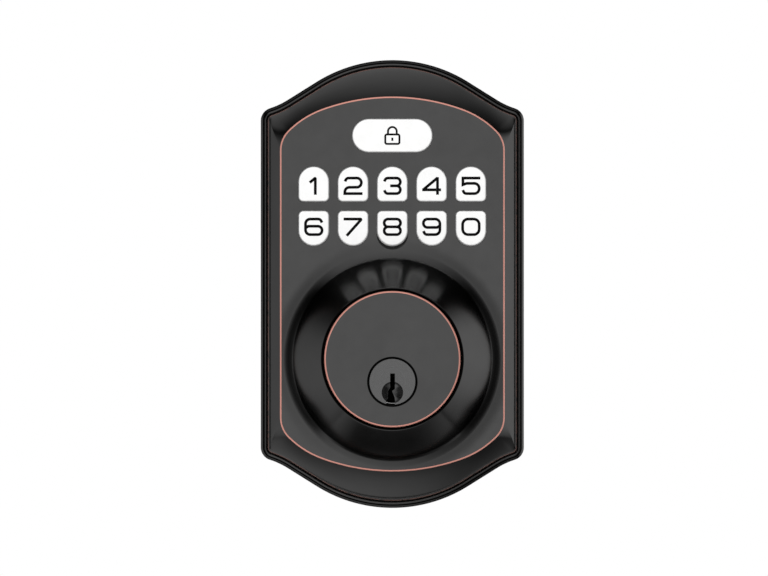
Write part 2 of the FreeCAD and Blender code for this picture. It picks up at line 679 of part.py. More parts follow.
def escutcheon():
    """Zinc casting: stepped rim, cove, raised panel and dome, hollow behind."""
    turns = [90 * index / (COVE_SECTIONS - 1) for index in range(COVE_SECTIONS)]
    cove = lofted("cove", [cove_outline(turn) for turn in turns], ruled=False)
    step = lofted("cove_step", [
        blended_outline(value("cove_inset"), 0, 0, value("plate_front")), cove_outline(0)], ruled=True)
    edge = lofted("panel_edge", [
        cove_outline(90),
        blended_outline(value("cove_inset"), value("edge_chamfer"), 1, value("panel_front"))], ruled=True)
    rim = slab("rim", [outline(ogee_quarter(0))], "rim_front", "gasket_thick")
    bead = slab("bead", [outline(ogee_quarter(value("bead_outer"))),
                         outline(ogee_quarter(value("bead_inner")))], "bead_front", "plate_front")
    dome = turned("dome", [
        ("0", "panel_front - foot_sink"),
        ("foot_radius", "panel_front - foot_sink"),
        ("foot_radius", "panel_front", "-skirt_round"),
        ("skirt_radius", "panel_front + skirt_height"),
        ("brow_radius", "panel_front + brow_height", "brow_round"),
        ("cone_radius", "panel_front + cone_height"),
        ("dome_lip_radius", "panel_front + dome_height"),
        ("0", "panel_front + dome_height"),
    ], rise="dome_rise")
    outside = fuse("escutcheon_outside", [rim, bead, step, cove, edge, dome])

    share, wall = value("cavity_share"), value("wall")
    cavity = lofted("cavity", [
        blended_outline(value("cove_inset") + wall, wall, share, value("plate_front")),
        blended_outline(value("cove_inset") + wall, wall, 1, value("panel_back"))], ruled=True)
    mouthpiece = lofted("cavity_mouth", [
        blended_outline(value("cove_inset") + wall, wall, share, 0),
        blended_outline(value("cove_inset") + wall, wall, share, value("plate_front"))], ruled=True)
    recess = slab("plate_recess", [outline(ogee_quarter(value("plate_recess_inset")))],
                  "plate_front", "0")
    shell = cut("shell", outside, [cavity, mouthpiece, recess])

    bosses = (rods("board_boss", "board_boss_radius", "panel_back + foot_sink", "board_front", BOARD_SCREWS)
              + rods("plate_boss", "plate_boss_radius", "panel_back + foot_sink", "plate_front",
                     PLATE_SCREWS))
    flesh = fuse("casting", [shell] + bosses)

    wells = [
        key_blank(f"well_{digit}", False, "key_gap", "key_front", "key_back", side, rise,
                  rise == "lower_row")
        for digit, side, rise in KEYS
    ]
    wells.append(key_blank("oval_well", True, "key_gap", "key_front", "key_back", "0", "oval_row"))
    notch = key_blank("thumb_notch", False, "key_gap", "key_front", "panel_front - notch_depth",
                      "0", "lower_row - notch_drop", upside_down=True)
    holes = [
        rod("dome_bore", "dome_bore_radius", "panel_front + dome_height - mouth_depth",
            "panel_back - foot_sink", rise="dome_rise"),
        rod("dome_mouth", "mouth_radius", "panel_front + dome_height + foot_sink", "panel_back",
            rise="dome_rise"),
    ]
    holes += rods("board_tap", "board_screw_radius + turning_gap", "board_screw_end + hole_slack / 2",
                  "board_front - foot_sink", BOARD_SCREWS)
    holes += rods("plate_tap", "screw_hole", "plate_screw_end + hole_slack", "plate_back", PLATE_SCREWS)
    holes += rods("retainer_tap", "screw_hole", "retainer_screw_end + hole_slack",
                  "panel_back - foot_sink", RETAINER_SCREWS)
    holes += rods("stud_tap", "stud_radius + turning_gap", "stud_front + hole_slack / 2",
                  "panel_back - foot_sink", POSTS)
    subpart("escutcheon", cut("escutcheon", flesh, wells + [notch] + holes))


# ---------------------------------------------------------------- keys

def round_front(body, base, front):
    """Round the front edges of a key."""
    last = base.Shape
    edges = [
        f"Edge{index}" for index, edge in enumerate(last.Edges, start=1)
        if max(abs(edge.BoundBox.YMin + front), abs(edge.BoundBox.YMax + front)) < LEVEL
    ]
    feature = body.newObject("PartDesign::Fillet", f"{body.Name}_edge")
    feature.Base = (base, edges)
    feature.setExpression("Radius", bound("key_edge"))


def key_cap(label, is_oval, side, rise, upside_down=False):
    """A moulded key: flange behind the panel and a cap that stands just proud of it."""
    body = doc.addObject("PartDesign::Body", label)
    flange = new_sketch(body, f"{label}_flange_outline", "XZ_Plane")
    draw_key(flange, is_oval, "key_flange")
    pad(body, flange, f"{label}_flange", "key_flange_thick")
    cap = new_sketch(body, f"{label}_cap_outline", "XZ_Plane")
    draw_key(cap, is_oval, "0")
    top = pad(body, cap, f"{label}_cap", "key_front - key_back")
    doc.recompute()
    round_front(body, top, value("key_front - key_back"))
    place(body, side, "key_back", rise, Rotation(Vector(0, 1, 0), 180 if upside_down else 0))
    subpart(label, body)


def keys():
    for digit, side, rise in KEYS:
        key_cap(f"key_{digit}", False, side, rise, rise == "lower_row")
    key_cap("lock_key", True, "0", "oval_row")


# ---------------------------------------------------------------- keypad electronics

def membrane():
    """Silicone sheet with a hollow button and an inner pip under each key."""
    sheet_part = slab("silicone_sheet", [arch(value("membrane_inset"), value("membrane_low"))],
                      "membrane_front", "board_front")
    buttons = [
        taper(f"button_{index}", "button_top", "button_root", "button_front", "board_front", side, rise)
        for index, (side, rise) in enumerate(BUTTON_SITES, start=1)
    ]
    hollows = [
        taper(f"hollow_{index}", "button_top - button_skin", "button_root - button_skin",
              "button_front - button_roof", "board_front - foot_sink", side, rise)
        for index, (side, rise) in enumerate(BUTTON_SITES, start=1)
    ]
    windows = [
        block(f"window_{index}", "led_wide + 2 * led_room", "led_tall + 2 * led_room",
              "membrane_front + foot_sink", "board_front - foot_sink", side, rise)
        for index, (side, rise) in enumerate(LED_SITES, start=1)
    ]
    windows += rods("membrane_hole", "board_boss_radius + fit_gap", "membrane_front + foot_sink",
                    "board_front - foot_sink", BOARD_SCREWS)
    windows += rods("membrane_pass", "plate_boss_radius + fit_gap", "membrane_front + foot_sink",
                    "board_front - foot_sink", PLATE_SCREWS[:2])
    skin = cut("skin", fuse("buttons", [sheet_part] + buttons), hollows + windows)
    pips = rods("pip", "actuator_radius", "button_front - button_roof / 2", "actuator_back", BUTTON_SITES)
    subpart("keypad_membrane", fuse("keypad_membrane", [skin] + pips))


def circuit_board():
    board = slab("board", [arch(value("board_inset"), value("board_low"))], "board_front", "board_back")
    holes = rods("board_hole", "board_screw_radius + turning_gap", "board_front + foot_sink",
                 "board_back - foot_sink", BOARD_SCREWS)
    holes += rods("board_pass", "plate_boss_radius + fit_gap", "board_front + foot_sink",
                  "board_back - foot_sink", PLATE_SCREWS[:2])
    subpart("circuit_board", cut("circuit_board", board, holes))


def board_parts():
    """What is soldered to the circuit board: snap domes and lights in front, the rest behind."""
    snaps = [
        taper(f"snap_{index}", "snap_radius / 2", "snap_radius", "board_front + snap_thick", "board_front",
              side, rise)
        for index, (side, rise) in enumerate(BUTTON_SITES, start=1)
    ]
    subpart("switch_domes", together("switch_domes", snaps))
    leds = [
        block(f"led_{index}", "led_wide", "led_tall", "board_front + led_thick", "board_front", side, rise)
        for index, (side, rise) in enumerate(LED_SITES, start=1)
    ]
    subpart("backlight_leds", together("backlight_leds", leds))
    subpart("controller_chip", block("controller_chip", "chip_side", "chip_side", "board_back",
                                     "board_back - chip_thick", rise="chip_rise"))
    subpart("buzzer", rod("buzzer", "buzzer_radius", "board_back", "board_back - buzzer_thick",
                          "buzzer_side", "buzzer_rise"))
    housing = block("socket_housing", "socket_wide", "socket_tall", "board_back",
                    "board_back - socket_thick", rise="socket_rise")
    slots = [
        block(f"contact_{index + 1}", "contact_wide", "socket_tall / 2",
              "board_back - socket_thick / 3", "board_back - socket_thick - foot_sink",
              f"{index - (SOCKET_CONTACTS - 1) / 2} * contact_pitch", "socket_rise - socket_tall / 2")
        for index in range(SOCKET_CONTACTS)
    ]
    subpart("cable_socket", cut("cable_socket", housing, slots))


def board_cover():
    """Moulded cover behind the circuit board, with a sleeve for each screw and boss."""
    outer = slab("cover_outer", [arch(value("board_inset"), value("board_low"))],
                 "board_back", "cover_back")
    inner = slab("cover_inner",
                 [arch(value("board_inset + cover_wall"), value("board_low + cover_wall"))],
                 "board_back + foot_sink", "cover_back + cover_wall")
    sleeves = rods("screw_sleeve", "board_boss_radius", "board_back", "cover_back", BOARD_SCREWS)
    sleeves += rods("boss_sleeve", "plate_boss_radius + fit_gap + cover_wall", "board_back",
                    "cover_back", PLATE_SCREWS[:2])
    box = fuse("cover_box", [cut("cover_tray", outer, [inner])] + sleeves)
    holes = rods("cover_hole", "board_screw_radius + turning_gap", "board_back + foot_sink",
                 "cover_back - foot_sink", BOARD_SCREWS)
    holes += rods("cover_pass", "plate_boss_radius + fit_gap", "board_back + foot_sink",
                  "cover_back - foot_sink", PLATE_SCREWS[:2])
    holes.append(block("cable_gate", "cable_notch", "2 * (cover_wall + foot_sink)", "board_back + foot_sink",
                       "cover_back + cover_wall", rise="board_low"))
    subpart("board_cover", cut("board_cover", box, holes))


# ---------------------------------------------------------------- screws

def screw(name, radius, head_radius, head_thick, seat, tip, side, rise):
    """Pan-head screw driven from the door side: its head sits behind the height `seat`."""
    shank = rod(f"{name}_shank", radius, tip, seat, side, rise)
    head = rod(f"{name}_head", head_radius, seat, f"{seat} - {head_thick}", side, rise)
    deep = f"{seat} - {head_thick} + drive_deep"
    past = f"{seat} - {head_thick} - foot_sink"
    cross = [
        block(f"{name}_drive_across", "drive_long", "drive_wide", deep, past, side, rise),
        block(f"{name}_drive_up", "drive_wide", "drive_long", deep, past, side, rise),
    ]
    return cut(name, fuse(f"{name}_blank", [shank, head]), cross)


def screws(label, sites, *sizes):
    """All the screws of one kind, as one node."""
    subpart(label, together(label, [
        screw(f"{label}_{index}", *sizes, side, rise)
        for index, (side, rise) in enumerate(sites, start=1)
    ]))


def all_screws():
    screws("board_screws", BOARD_SCREWS, "board_screw_radius", "board_head_radius", "board_head_thick",
           "cover_back", "board_screw_end")
    screws("retainer_screws", RETAINER_SCREWS, "screw_radius", "head_radius", "retainer_head_thick",
           "retainer_back", "retainer_screw_end")
    screws("back_plate_screws", PLATE_SCREWS, "screw_radius", "head_radius", "plate_head_thick",
           "plate_back", "plate_screw_end")


# ---------------------------------------------------------------- key cylinder

def cylinder_cap():
    """Cap that fills the mouth of the dome, with the well that the plug's head sits in."""
    front = "panel_front + dome_height"
    body = turned("cap_blank", [
        ("0", "cap_back"),
        ("cap_flange_radius", "cap_back"),
        ("cap_flange_radius", "cap_flange_front"),
        ("cap_radius", "cap_flange_front"),
        ("cap_radius", f"{front} - cap_chamfer"),
        ("cap_radius - cap_chamfer", front),
        ("0", front),
    ], rise="dome_rise")
    well = rod("plug_well", "plug_well_radius", f"{front} + foot_sink", f"{front} - plug_well_depth")
    bore = rod("cap_bore", "plug_bore", f"{front} + foot_sink", "cap_back - foot_sink")
    subpart("cylinder_cap", cut("cylinder_cap", body, [well, bore]))


def anti_drill_plate():
    disc = rod("shield_disc", "shield_radius", "cap_back", "cap_back - shield_thick")
    bore = rod("shield_bore", "plug_bore", "cap_back + foot_sink", "cap_back - shield_thick - foot_sink")
    subpart("anti_drill_plate", cut("anti_drill_plate", disc, [bore]))


def cylinder_body():
    """Brass housing: collar, barrel and pin tower, bored for the plug and the five pin stacks."""
    collar = rod("collar", "tube_radius", "cap_back", "collar_back", rise="dome_rise")
    barrel = rod("barrel", "barrel_radius", "collar_back", "barrel_back")
    tower = block("tower", "tower_wide", "tower_high", "collar_back", "tower_back",
                  rise="tower_high / 2")
    pocket = rod("shield_pocket", "shield_radius + shield_room", "cap_back + foot_sink",
                 "cap_back - shield_thick - shield_room")
    bore = rod("plug_way", "plug_bore", "cap_back", "barrel_back - foot_sink")
    chambers = [
        post(f"chamber_{index + 1}", "chamber_radius", "plug_radius / 2", "tower_high + foot_sink",
             "0", height)
        for index, height in enumerate(PIN_HEIGHTS)
    ]
    trough = block("strip_trough", "cover_strip_wide + 2 * turning_gap", "tower_high",
                   "pin_first + strip_margin + turning_gap",
                   f"{PIN_HEIGHTS[-1]} - strip_margin - turning_gap",
                   rise="cover_strip_low + tower_high / 2")
    subpart("cylinder_body", cut("cylinder_body", fuse("cylinder_blank", [collar, barrel, tower]),
                                 [pocket, bore, trough] + chambers))
    subpart("pin_chamber_cover", block(
        "pin_chamber_cover", "cover_strip_wide", "tower_high - cover_strip_low",
        "pin_first + strip_margin", f"{PIN_HEIGHTS[-1]} - strip_margin",
        rise="(tower_high + cover_strip_low) / 2"))


def retainer():
    """Flanged tube, screwed to the casting, that holds the cylinder's collar in the dome."""
    flange = rod("retainer_flange", "retainer_radius", "panel_back", "retainer_back", rise="dome_rise")
    tube = rod("retainer_tube", "tube_radius", "retainer_front", "retainer_back", rise="dome_rise")
    holes = [rod("retainer_bore", "tube_bore", "retainer_front + foot_sink",
                 "retainer_back - foot_sink", rise="dome_rise")]
    holes += rods("retainer_hole", "screw_hole", "panel_back + foot_sink", "retainer_back - foot_sink",
                  RETAINER_SCREWS)
    holes += rods("stud_pass", "stud_hole", "panel_back + foot_sink", "retainer_back - foot_sink", POSTS)
    subpart("cylinder_retainer", cut("cylinder_retainer", fuse("retainer_blank", [flange, tube]), holes))


def plug():
    """The part that the key turns: keyway, scoop, pin chambers, and a slotted end for the tailpiece."""
    face = "panel_front + dome_height"
    stem = rod("plug_stem", "plug_radius", f"{face} - plug_head_thick", "plug_end")
    head = rod("plug_head", "plug_head_radius", face, f"{face} - plug_head_thick")
    keyway_wire = Part.makePolygon([point(*corner) for corner in KEYWAY + KEYWAY[:1]])
    keyway = slab("keyway", [keyway_wire], f"{face} + foot_sink", "keyway_end")
    scoop = doc.addObject("Part::Sphere", "scoop")
    scoop.setExpression("Radius", bound("scoop_radius"))
    place(scoop, "0", f"{face} + sqrt(scoop_radius ^ 2 - scoop_mouth ^ 2)", "-scoop_drop")
    chambers = [
        post(f"plug_chamber_{index + 1}", "chamber_radius", "chamber_low", "plug_radius + foot_sink",
             "0", height)
        for index, height in enumerate(PIN_HEIGHTS)
    ]
    slot = block("tail_slot", "tail_slot", "2 * (plug_radius + foot_sink)", "tail_front + turning_gap",
                 "plug_end - foot_sink")
    groove = cut("clip_groove", rod("groove_outer", "plug_radius + foot_sink", "groove_front",
                                    "groove_front - clip_thick - turning_gap"),
                 [rod("groove_core", "groove_radius", "groove_front + foot_sink",
                      "groove_front - clip_thick - foot_sink")])
    pin_hole = cross_rod("plug_pin_hole", *PIN_HOLE)
    subpart("plug", cut("plug", fuse("plug_blank", [stem, head]),
                        [keyway, scoop, slot, groove, pin_hole] + chambers))


def cross_rod(name, radius, long):
    """A rod across the plug and the tailpiece: their pin, or the tool for its hole."""
    piece = doc.addObject("Part::Cylinder", name)
    piece.setExpression("Radius", bound(radius))
    piece.setExpression("Height", bound(long))
    return place(piece, f"-({long}) / 2", "cross_pin_height", "0", ALONG_X)


def pin_stacks():
    """Key pins, driver pins and springs, set as they stand with the right key in the plug."""
    key_pins, drivers, springs = [], [], []
    for index, (height, low) in enumerate(zip(PIN_HEIGHTS, KEY_PIN_LOWS), start=1):
        shaft = post(f"key_pin_shaft_{index}", "pin_radius", f"{low} + pin_taper", "key_pin_top",
                     "0", height)
        tip = doc.addObject("Part::Cone", f"key_pin_tip_{index}")
        tip.setExpression("Radius1", bound("pin_tip"))
        tip.setExpression("Radius2", bound("pin_radius"))
        tip.setExpression("Height", bound("pin_taper"))
        place(tip, "0", height, str(low))
        key_pins.append(fuse(f"key_pin_{index}", [shaft, tip]))
        drivers.append(post(f"driver_{index}", "pin_radius", "driver_low", "driver_high", "0", height))
        springs.append(spring(f"spring_{index}", height))
    subpart("key_pins", together("key_pins", key_pins))
    subpart("driver_pins", together("driver_pins", drivers))
    subpart("pin_springs", together("pin_springs", springs))


def spring(name, height):
    """Compression spring between a driver pin and the cover strip."""
    wire_radius, coil = value("spring_wire"), value("spring_radius")
    long = value("cover_strip_low - driver_high") - 2 * wire_radius - value("2 * turning_gap")
    helix = Part.makeHelix(value("spring_pitch"), long, coil)
    section = Part.Wire(Part.Circle(Vector(coil, 0, 0), Vector(0, 1, 0), wire_radius).toShape())
    piece = doc.addObject("Part::Feature", name)
    piece.Shape = helix.makePipeShell([section], True, True)
    return place(piece, "0", height, "driver_high + spring_wire + turning_gap")


def tailpiece():
    """Flat blade that carries the plug's turn through the door, its clip and its cross pin."""
    blade = block("tail_blade", "tail_thick", "tail_wide", "tail_front", "tail_end")
    subpart("tailpiece", cut("tailpiece", blade, [cross_rod("blade_pin_hole", *PIN_HOLE)]))
    ring = rod("clip_ring", "clip_radius", "groove_front - turning_gap / 2",
               "groove_front - clip_thick - turning_gap / 2")
    bore = rod("clip_bore", "groove_radius + turning_gap", "groove_front + foot_sink",
               "groove_front - clip_thick - foot_sink")
    gap = block("clip_gap", "clip_mouth", "clip_radius", "groove_front + foot_sink",
                "groove_front - clip_thick - foot_sink", rise="-(groove_radius + clip_radius / 2)")
    subpart("tailpiece_clip", cut("tailpiece_clip", ring, [bore, gap]))
    subpart("tailpiece_pin", cross_rod("tailpiece_pin", "cross_pin_radius", "cross_pin_long"))


# ---------------------------------------------------------------- door side

def back_plate():
    plate = slab("plate_blank", [outline(ogee_quarter(value("plate_inset")))], "plate_front", "plate_back")
    past = ("plate_front + foot_sink", "plate_back - foot_sink")
    holes = [
        rod("barrel_hole", "barrel_hole", *past),
        rod("grommet_hole", "grommet_neck", *past, rise="grommet_drop"),
    ]
    holes += rods("post_hole", "post_hole", *past, POSTS)
    holes += rods("plate_hole", "screw_hole", *past, PLATE_SCREWS)
    subpart("back_plate", cut("back_plate", plate, holes))


def door_gasket():
    ring = slab("door_gasket", [outline(ogee_quarter(value("gasket_outer"))),
                                outline(ogee_quarter(value("gasket_inner")))], "gasket_thick", "0")
    subpart("door_gasket", ring)


def mounting_posts():
    """Posts that the bolts from the inside of the door screw into."""
    posts = []
    for index, (side, rise) in enumerate(POSTS, start=1):
        shank = rod(f"post_shank_{index}", "post_radius", "retainer_back", "0", side, rise)
        stud = rod(f"post_stud_{index}", "stud_radius", "stud_front", "retainer_back", side, rise)
        bore = rod(f"post_bore_{index}", "post_thread", "post_bore_depth", "-foot_sink", side, rise)
        posts.append(cut(f"post_{index}", fuse(f"post_blank_{index}", [shank, stud]), [bore]))
    subpart("mounting_posts", together("mounting_posts", posts))


def cable_grommet():
    """Rubber grommet that snaps into the back plate."""
    body = turned("cable_grommet", [
        ("grommet_bore", "plate_back - grommet_lip_thick"),
        ("grommet_lip", "plate_back - grommet_lip_thick"),
        ("grommet_lip", "plate_back"),
        ("grommet_neck", "plate_back"),
        ("grommet_neck", "plate_front"),
        ("grommet_lip", "plate_front"),
        ("grommet_lip", "plate_front + grommet_lip_thick"),
        ("grommet_bore", "plate_front + grommet_lip_thick"),
    ], rise="grommet_drop")
    subpart("cable_grommet", body)


def check_and_export():
    """Stop on any failed object, then write one STEP file for each sub-part."""
    doc.recompute()
    failed = [item.Label for item in doc.Objects if {"Invalid", "Error"} & set(item.State)]
    if failed:
        raise RuntimeError(f"failed objects: {failed}")
    for piece in subparts:
        if piece.Shape.isNull() or not piece.Shape.isValid():
            raise RuntimeError(f"bad shape: {piece.Label}")
    os.makedirs("parts", exist_ok=True)
    for piece in subparts:
        piece.Shape.exportStep(f"parts/{piece.Label}.step")
        print(piece.Label, len(piece.Shape.Solids), "solid(s)", round(piece.Shape.Volume, 1), "mm3")


escutcheon()
keys()
membrane()
circuit_board()
board_parts()
board_cover()
all_screws()
cylinder_cap()
anti_drill_plate()
cylinder_body()
retainer()
plug()
pin_stacks()
tailpiece()
back_plate()
door_gasket()
mounting_posts()
cable_grommet()
check_and_export()
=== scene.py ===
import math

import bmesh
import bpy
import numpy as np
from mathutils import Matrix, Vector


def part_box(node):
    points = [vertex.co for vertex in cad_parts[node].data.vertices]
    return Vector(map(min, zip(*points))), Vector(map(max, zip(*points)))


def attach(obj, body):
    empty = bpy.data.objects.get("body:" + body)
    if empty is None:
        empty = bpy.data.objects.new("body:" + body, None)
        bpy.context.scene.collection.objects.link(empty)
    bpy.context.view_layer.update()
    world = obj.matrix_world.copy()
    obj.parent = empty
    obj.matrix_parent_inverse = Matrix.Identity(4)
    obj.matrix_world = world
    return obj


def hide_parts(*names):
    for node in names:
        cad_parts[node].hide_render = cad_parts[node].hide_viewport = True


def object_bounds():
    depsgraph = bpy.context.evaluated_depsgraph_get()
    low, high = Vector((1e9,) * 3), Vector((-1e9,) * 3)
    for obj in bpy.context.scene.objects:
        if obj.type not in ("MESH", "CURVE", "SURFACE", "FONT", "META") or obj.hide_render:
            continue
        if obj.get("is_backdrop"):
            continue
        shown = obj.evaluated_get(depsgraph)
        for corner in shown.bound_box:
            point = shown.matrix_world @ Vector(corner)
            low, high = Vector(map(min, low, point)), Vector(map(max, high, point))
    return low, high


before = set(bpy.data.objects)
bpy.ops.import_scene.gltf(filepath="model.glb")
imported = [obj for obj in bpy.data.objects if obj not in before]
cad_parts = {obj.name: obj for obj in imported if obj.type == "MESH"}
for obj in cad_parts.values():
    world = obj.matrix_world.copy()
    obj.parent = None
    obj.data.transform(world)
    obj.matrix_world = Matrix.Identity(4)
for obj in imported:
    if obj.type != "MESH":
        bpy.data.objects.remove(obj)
cad_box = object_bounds()

# Looks of the keypad smart lock.
#
# Same frame as the CAD: the origin is where the cylinder's axis crosses the door's outer face, +X is
# to the right, +Z up and +Y into the door.  Sizes are in millimetres, and a height is the distance in
# front of the door face (height = -y).  The casting and the cylinder's cap are made again here with
# their beads, worn edges and smooth curves, and the keys get printed legends; the other CAD nodes stay
# and get their materials.

MM = 0.001
case_low, case_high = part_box("escutcheon")
cap_low, cap_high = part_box("cylinder_cap")

# escutcheon outline
HALF_WIDE = case_high.x / MM
MIDDLE = (case_low.z + case_high.z) / 2 / MM
HALF_TALL = (case_high.z - case_low.z) / 2 / MM
APEX_RADIUS, SLOPE = 39.5, 32.0             # crown of the ogee, and its steepest slope in degrees
HOLLOW_RADIUS, BROW = 22.4, 18.0            # hollow beside the corner, and the slope that it ends at
CORNER_RADIUS = 3.6
# raised panel outline
PANEL_HALF_WIDE, PANEL_HALF_TALL = 30.95, 51.66
CROWN_RADIUS, CROWN_END = 56.6, 20.0
SHOULDER_RADIUS, SHOULDER_END = 25.6, 45.0
# heights
REAR = -case_high.y / MM
COVE_INSET, COVE_FOOT, COVE_TOP = 2.4, 3.6, 18.0
COVE_STRAIGHT = (0.3, 0.9)                  # how straight the cove's profile is, at the top and sides
COVE_DRAFT = 3.6                            # depth of the relief that leans the cove's shading outward
PANEL_FRONT, PANEL_BACK = 18.5, 16.3
DOME_FRONT = -case_low.y / MM
# inside of the casting
WALL, CAVITY_SHARE = 2.2, 0.5
RECESS_INSET, RECESS_FRONT = 5.0, 2.6
BOARD_BOSSES = [(-16.23, 35.4), (-17.5, 69.8), (16.23, 35.4), (17.5, 69.8)]
PLATE_BOSSES = [(side, up) for side in (-23.5, 23.5) for up in (-14.0, 63.4)]
BOARD_BOSS = (2.4, 1.25, 11.9, 15.0)        # radius, radius of the bore, and height of each one's end
PLATE_BOSS = (2.8, 1.45, 2.6, 9.8)
BOSS_ROOT = 0.5                             # how far a boss goes into the panel
# dome and cylinder
DOME_RISE = (cap_low.z + cap_high.z) / 2 / MM
CONE_FOOT_RADIUS, CONE_FOOT = 27.3, 1.5     # end of the cone, and its height over the panel
CONE_TOP_RADIUS = 19.6
FOOT_RADIUS, FOOT_ROUND = 29.9, 3.0         # fillet between the cone and the panel
SWELL_RADII, SWELL_DEPTH = (27.5, 33.8), 0.38   # relief in the casting's material round the dome
MOUTH_RADIUS, MOUTH_DEPTH, BORE_RADIUS = 19.25, 2.9, 20.0
CAP_RADIUS, CAP_FLANGE_RADIUS, CAP_FLANGE_FRONT = 18.75, 19.8, 30.3
CAP_BACK = -cap_high.y / MM
PLUG_WELL_RADIUS, PLUG_WELL_DEPTH = 6.87, 1.0
PLUG_BORE = 6.005                           # close round the plug, so that no light comes through
PLUG_WELL_EDGE = ((0.08, 0.0), (0.02, 0.03), (0.0, 0.1))    # its rounded edge: (outward, down) steps
# keys
KEY_FLANGE, KEY_CORNER, KEY_GAP, KEY_FACE = 0.8, 1.2, 0.25, 19.5
KEY_WELL_EDGE = ((0.1, 0.0), (0.03, 0.03), (0.0, 0.1))
NOTCHED_KEY, NOTCH_DROP, NOTCH_DEPTH = "key_8", 0.85, 1.0
UPPER_KEYS, LOWER_KEYS = "12345", "67890"
KEY_NODES = [f"key_{digit}" for digit in UPPER_KEYS + LOWER_KEYS] + ["lock_key"]
PANEL_EDGE, CAP_EDGE = 0.4, 0.45            # worn, rounded edges of the panel and the cap

# mesh fineness
RUN_POINTS, CORNER_POINTS, SIDE_POINTS = 49, 13, 19
CIRCLE, SMALL_CIRCLE = 192, 40
COVE_ROWS = 20
SHARP = math.radians(32)                    # a crease from this angle on
WELD = 1e-6                                 # metres

# The last slot is painted shade: near-black paint on the walls of the key wells, on the dome's mouth and
# bore, and on the cap's hidden sides and bore, where shade falls.
PLAIN, WORN, LINE, PAINTED_SHADE = range(4)        # material slots of the casting and the cap


# ---------------------------------------------------------------- outlines, as rows of (across, up)

def lean(angle):
    """Unit vector at `angle` degrees from straight up, leaning to the right."""
    turn = np.radians(angle)
    return np.stack([np.sin(turn), np.cos(turn)], axis=-1)


def sweep(centre, radius, start, end, count=60):
    """Points on an arc between two such angles; a negative radius bulges the other way."""
    return np.asarray(centre) + lean(np.linspace(start, end, count)) * radius


def evenly(points, count):
    """As many points, evenly spaced along a line."""
    along = np.concatenate([[0], np.cumsum(np.hypot(*np.diff(points, axis=0).T))])
    where = np.linspace(0, along[-1], count)
    return np.column_stack([np.interp(where, along, points[:, axis]) for axis in (0, 1)])


def ogee_quarter(inset):
    """Upper right quarter of the escutcheon's outline moved in by `inset`: top run and corner.

    Past the corner's own radius the run meets the side in a point.
    """
    steep, brow = lean(SLOPE), lean(BROW)
    slope_side = (HALF_WIDE - APEX_RADIUS * steep[0] - CORNER_RADIUS * (1 - brow[0])
                  - HOLLOW_RADIUS * (steep[0] - brow[0]))
    apex = np.array([0, MIDDLE + HALF_TALL - APEX_RADIUS])
    slope_end = apex + steep * APEX_RADIUS + (slope_side, -slope_side * math.tan(math.radians(SLOPE)))
    hollow = slope_end + steep * HOLLOW_RADIUS
    rounded = inset < CORNER_RADIUS
    last = BROW if rounded else math.degrees(
        math.asin((hollow[0] - HALF_WIDE + inset) / (HOLLOW_RADIUS + inset)))
    run = np.vstack([sweep(apex, APEX_RADIUS - inset, 0, SLOPE),
                     sweep(hollow, -(HOLLOW_RADIUS + inset), SLOPE, last)])
    if not rounded:
        return run, run[-1:].repeat(2, axis=0)
    return run, sweep(hollow - brow * (HOLLOW_RADIUS + CORNER_RADIUS), CORNER_RADIUS - inset, BROW, 90)


def panel_quarter(inset):
    """Upper right quarter of the raised panel's outline moved in by `inset`."""
    crown = np.array([0, MIDDLE + PANEL_HALF_TALL - CROWN_RADIUS])
    shoulder = crown + lean(CROWN_END) * (CROWN_RADIUS - SHOULDER_RADIUS)
    reach = lean(SHOULDER_END)
    corner_radius = (PANEL_HALF_WIDE - shoulder[0] - SHOULDER_RADIUS * reach[0]) / (1 - reach[0])
    corner = shoulder + reach * (SHOULDER_RADIUS - corner_radius)
    run = np.vstack([sweep(crown, CROWN_RADIUS - inset, 0, CROWN_END),
                     sweep(shoulder, SHOULDER_RADIUS - inset, CROWN_END, SHOULDER_END)])
    return run, sweep(corner, corner_radius - inset, SHOULDER_END, 90)


def whole(quarter):
    """Closed outline from its upper right quarter, mirrored down and across."""
    right = np.vstack([quarter, quarter[-2::-1] * (1, -1) + (0, 2 * MIDDLE)])
    return np.vstack([right, right[-2:0:-1] * (-1, 1)])


def along_quarter(top, side):
    """A value for each point of a quarter outline: one at the top and another down the side."""
    corner = np.linspace(top, side, CORNER_POINTS)[1:]
    return np.concatenate([np.full(RUN_POINTS, top), corner, np.full(SIDE_POINTS - 1, side)])[:, None]


def blended(rim_inset, panel_inset, share):
    """Outline part of the way from the rim to the panel."""
    halves = []
    for run, corner in (ogee_quarter(rim_inset), panel_quarter(panel_inset)):
        side = np.linspace(corner[-1], (corner[-1][0], MIDDLE), SIDE_POINTS)
        halves.append(np.vstack([evenly(run, RUN_POINTS), evenly(corner, CORNER_POINTS)[1:], side[1:]]))
    return whole(halves[0] * (1 - share) + halves[1] * share)


def rim(inset):
    """The escutcheon's outline moved in by `inset`."""
    return blended(inset, 0, 0)


def panel(inset):
    """The raised panel's outline moved in by `inset`."""
    return blended(COVE_INSET, inset, 1)


def circle(radius, side=0.0, rise=DOME_RISE, count=CIRCLE):
    """A circle, about the dome's axis unless told otherwise."""
    return sweep((side, rise), radius, 0, 360, count + 1)[:-1]


def small_circle(radius, side, rise):
    """A circle of a boss, with fewer points."""
    return circle(radius, side, rise, SMALL_CIRCLE)


def tombstone(wide, tall, corner, crown_points=48, corner_points=9):
    """Digit key outline about its middle: a half-round top on a foot with rounded corners."""
    half, foot = wide / 2, tall / 2
    return np.vstack([
        sweep((0, foot - half), half, -90, 90, crown_points),
        sweep((half - corner, corner - foot), corner, 90, 180, corner_points),
        sweep((corner - half, corner - foot), corner, 180, 270, corner_points),
    ])


def capsule(wide, tall, end_points=40):
    """Lock key outline about its middle: a bar with full-round ends."""
    reach = (wide - tall) / 2
    return np.vstack([sweep((reach, 0), tall / 2, 0, 180, end_points),
                      sweep((-reach, 0), tall / 2, 180, 360, end_points)])


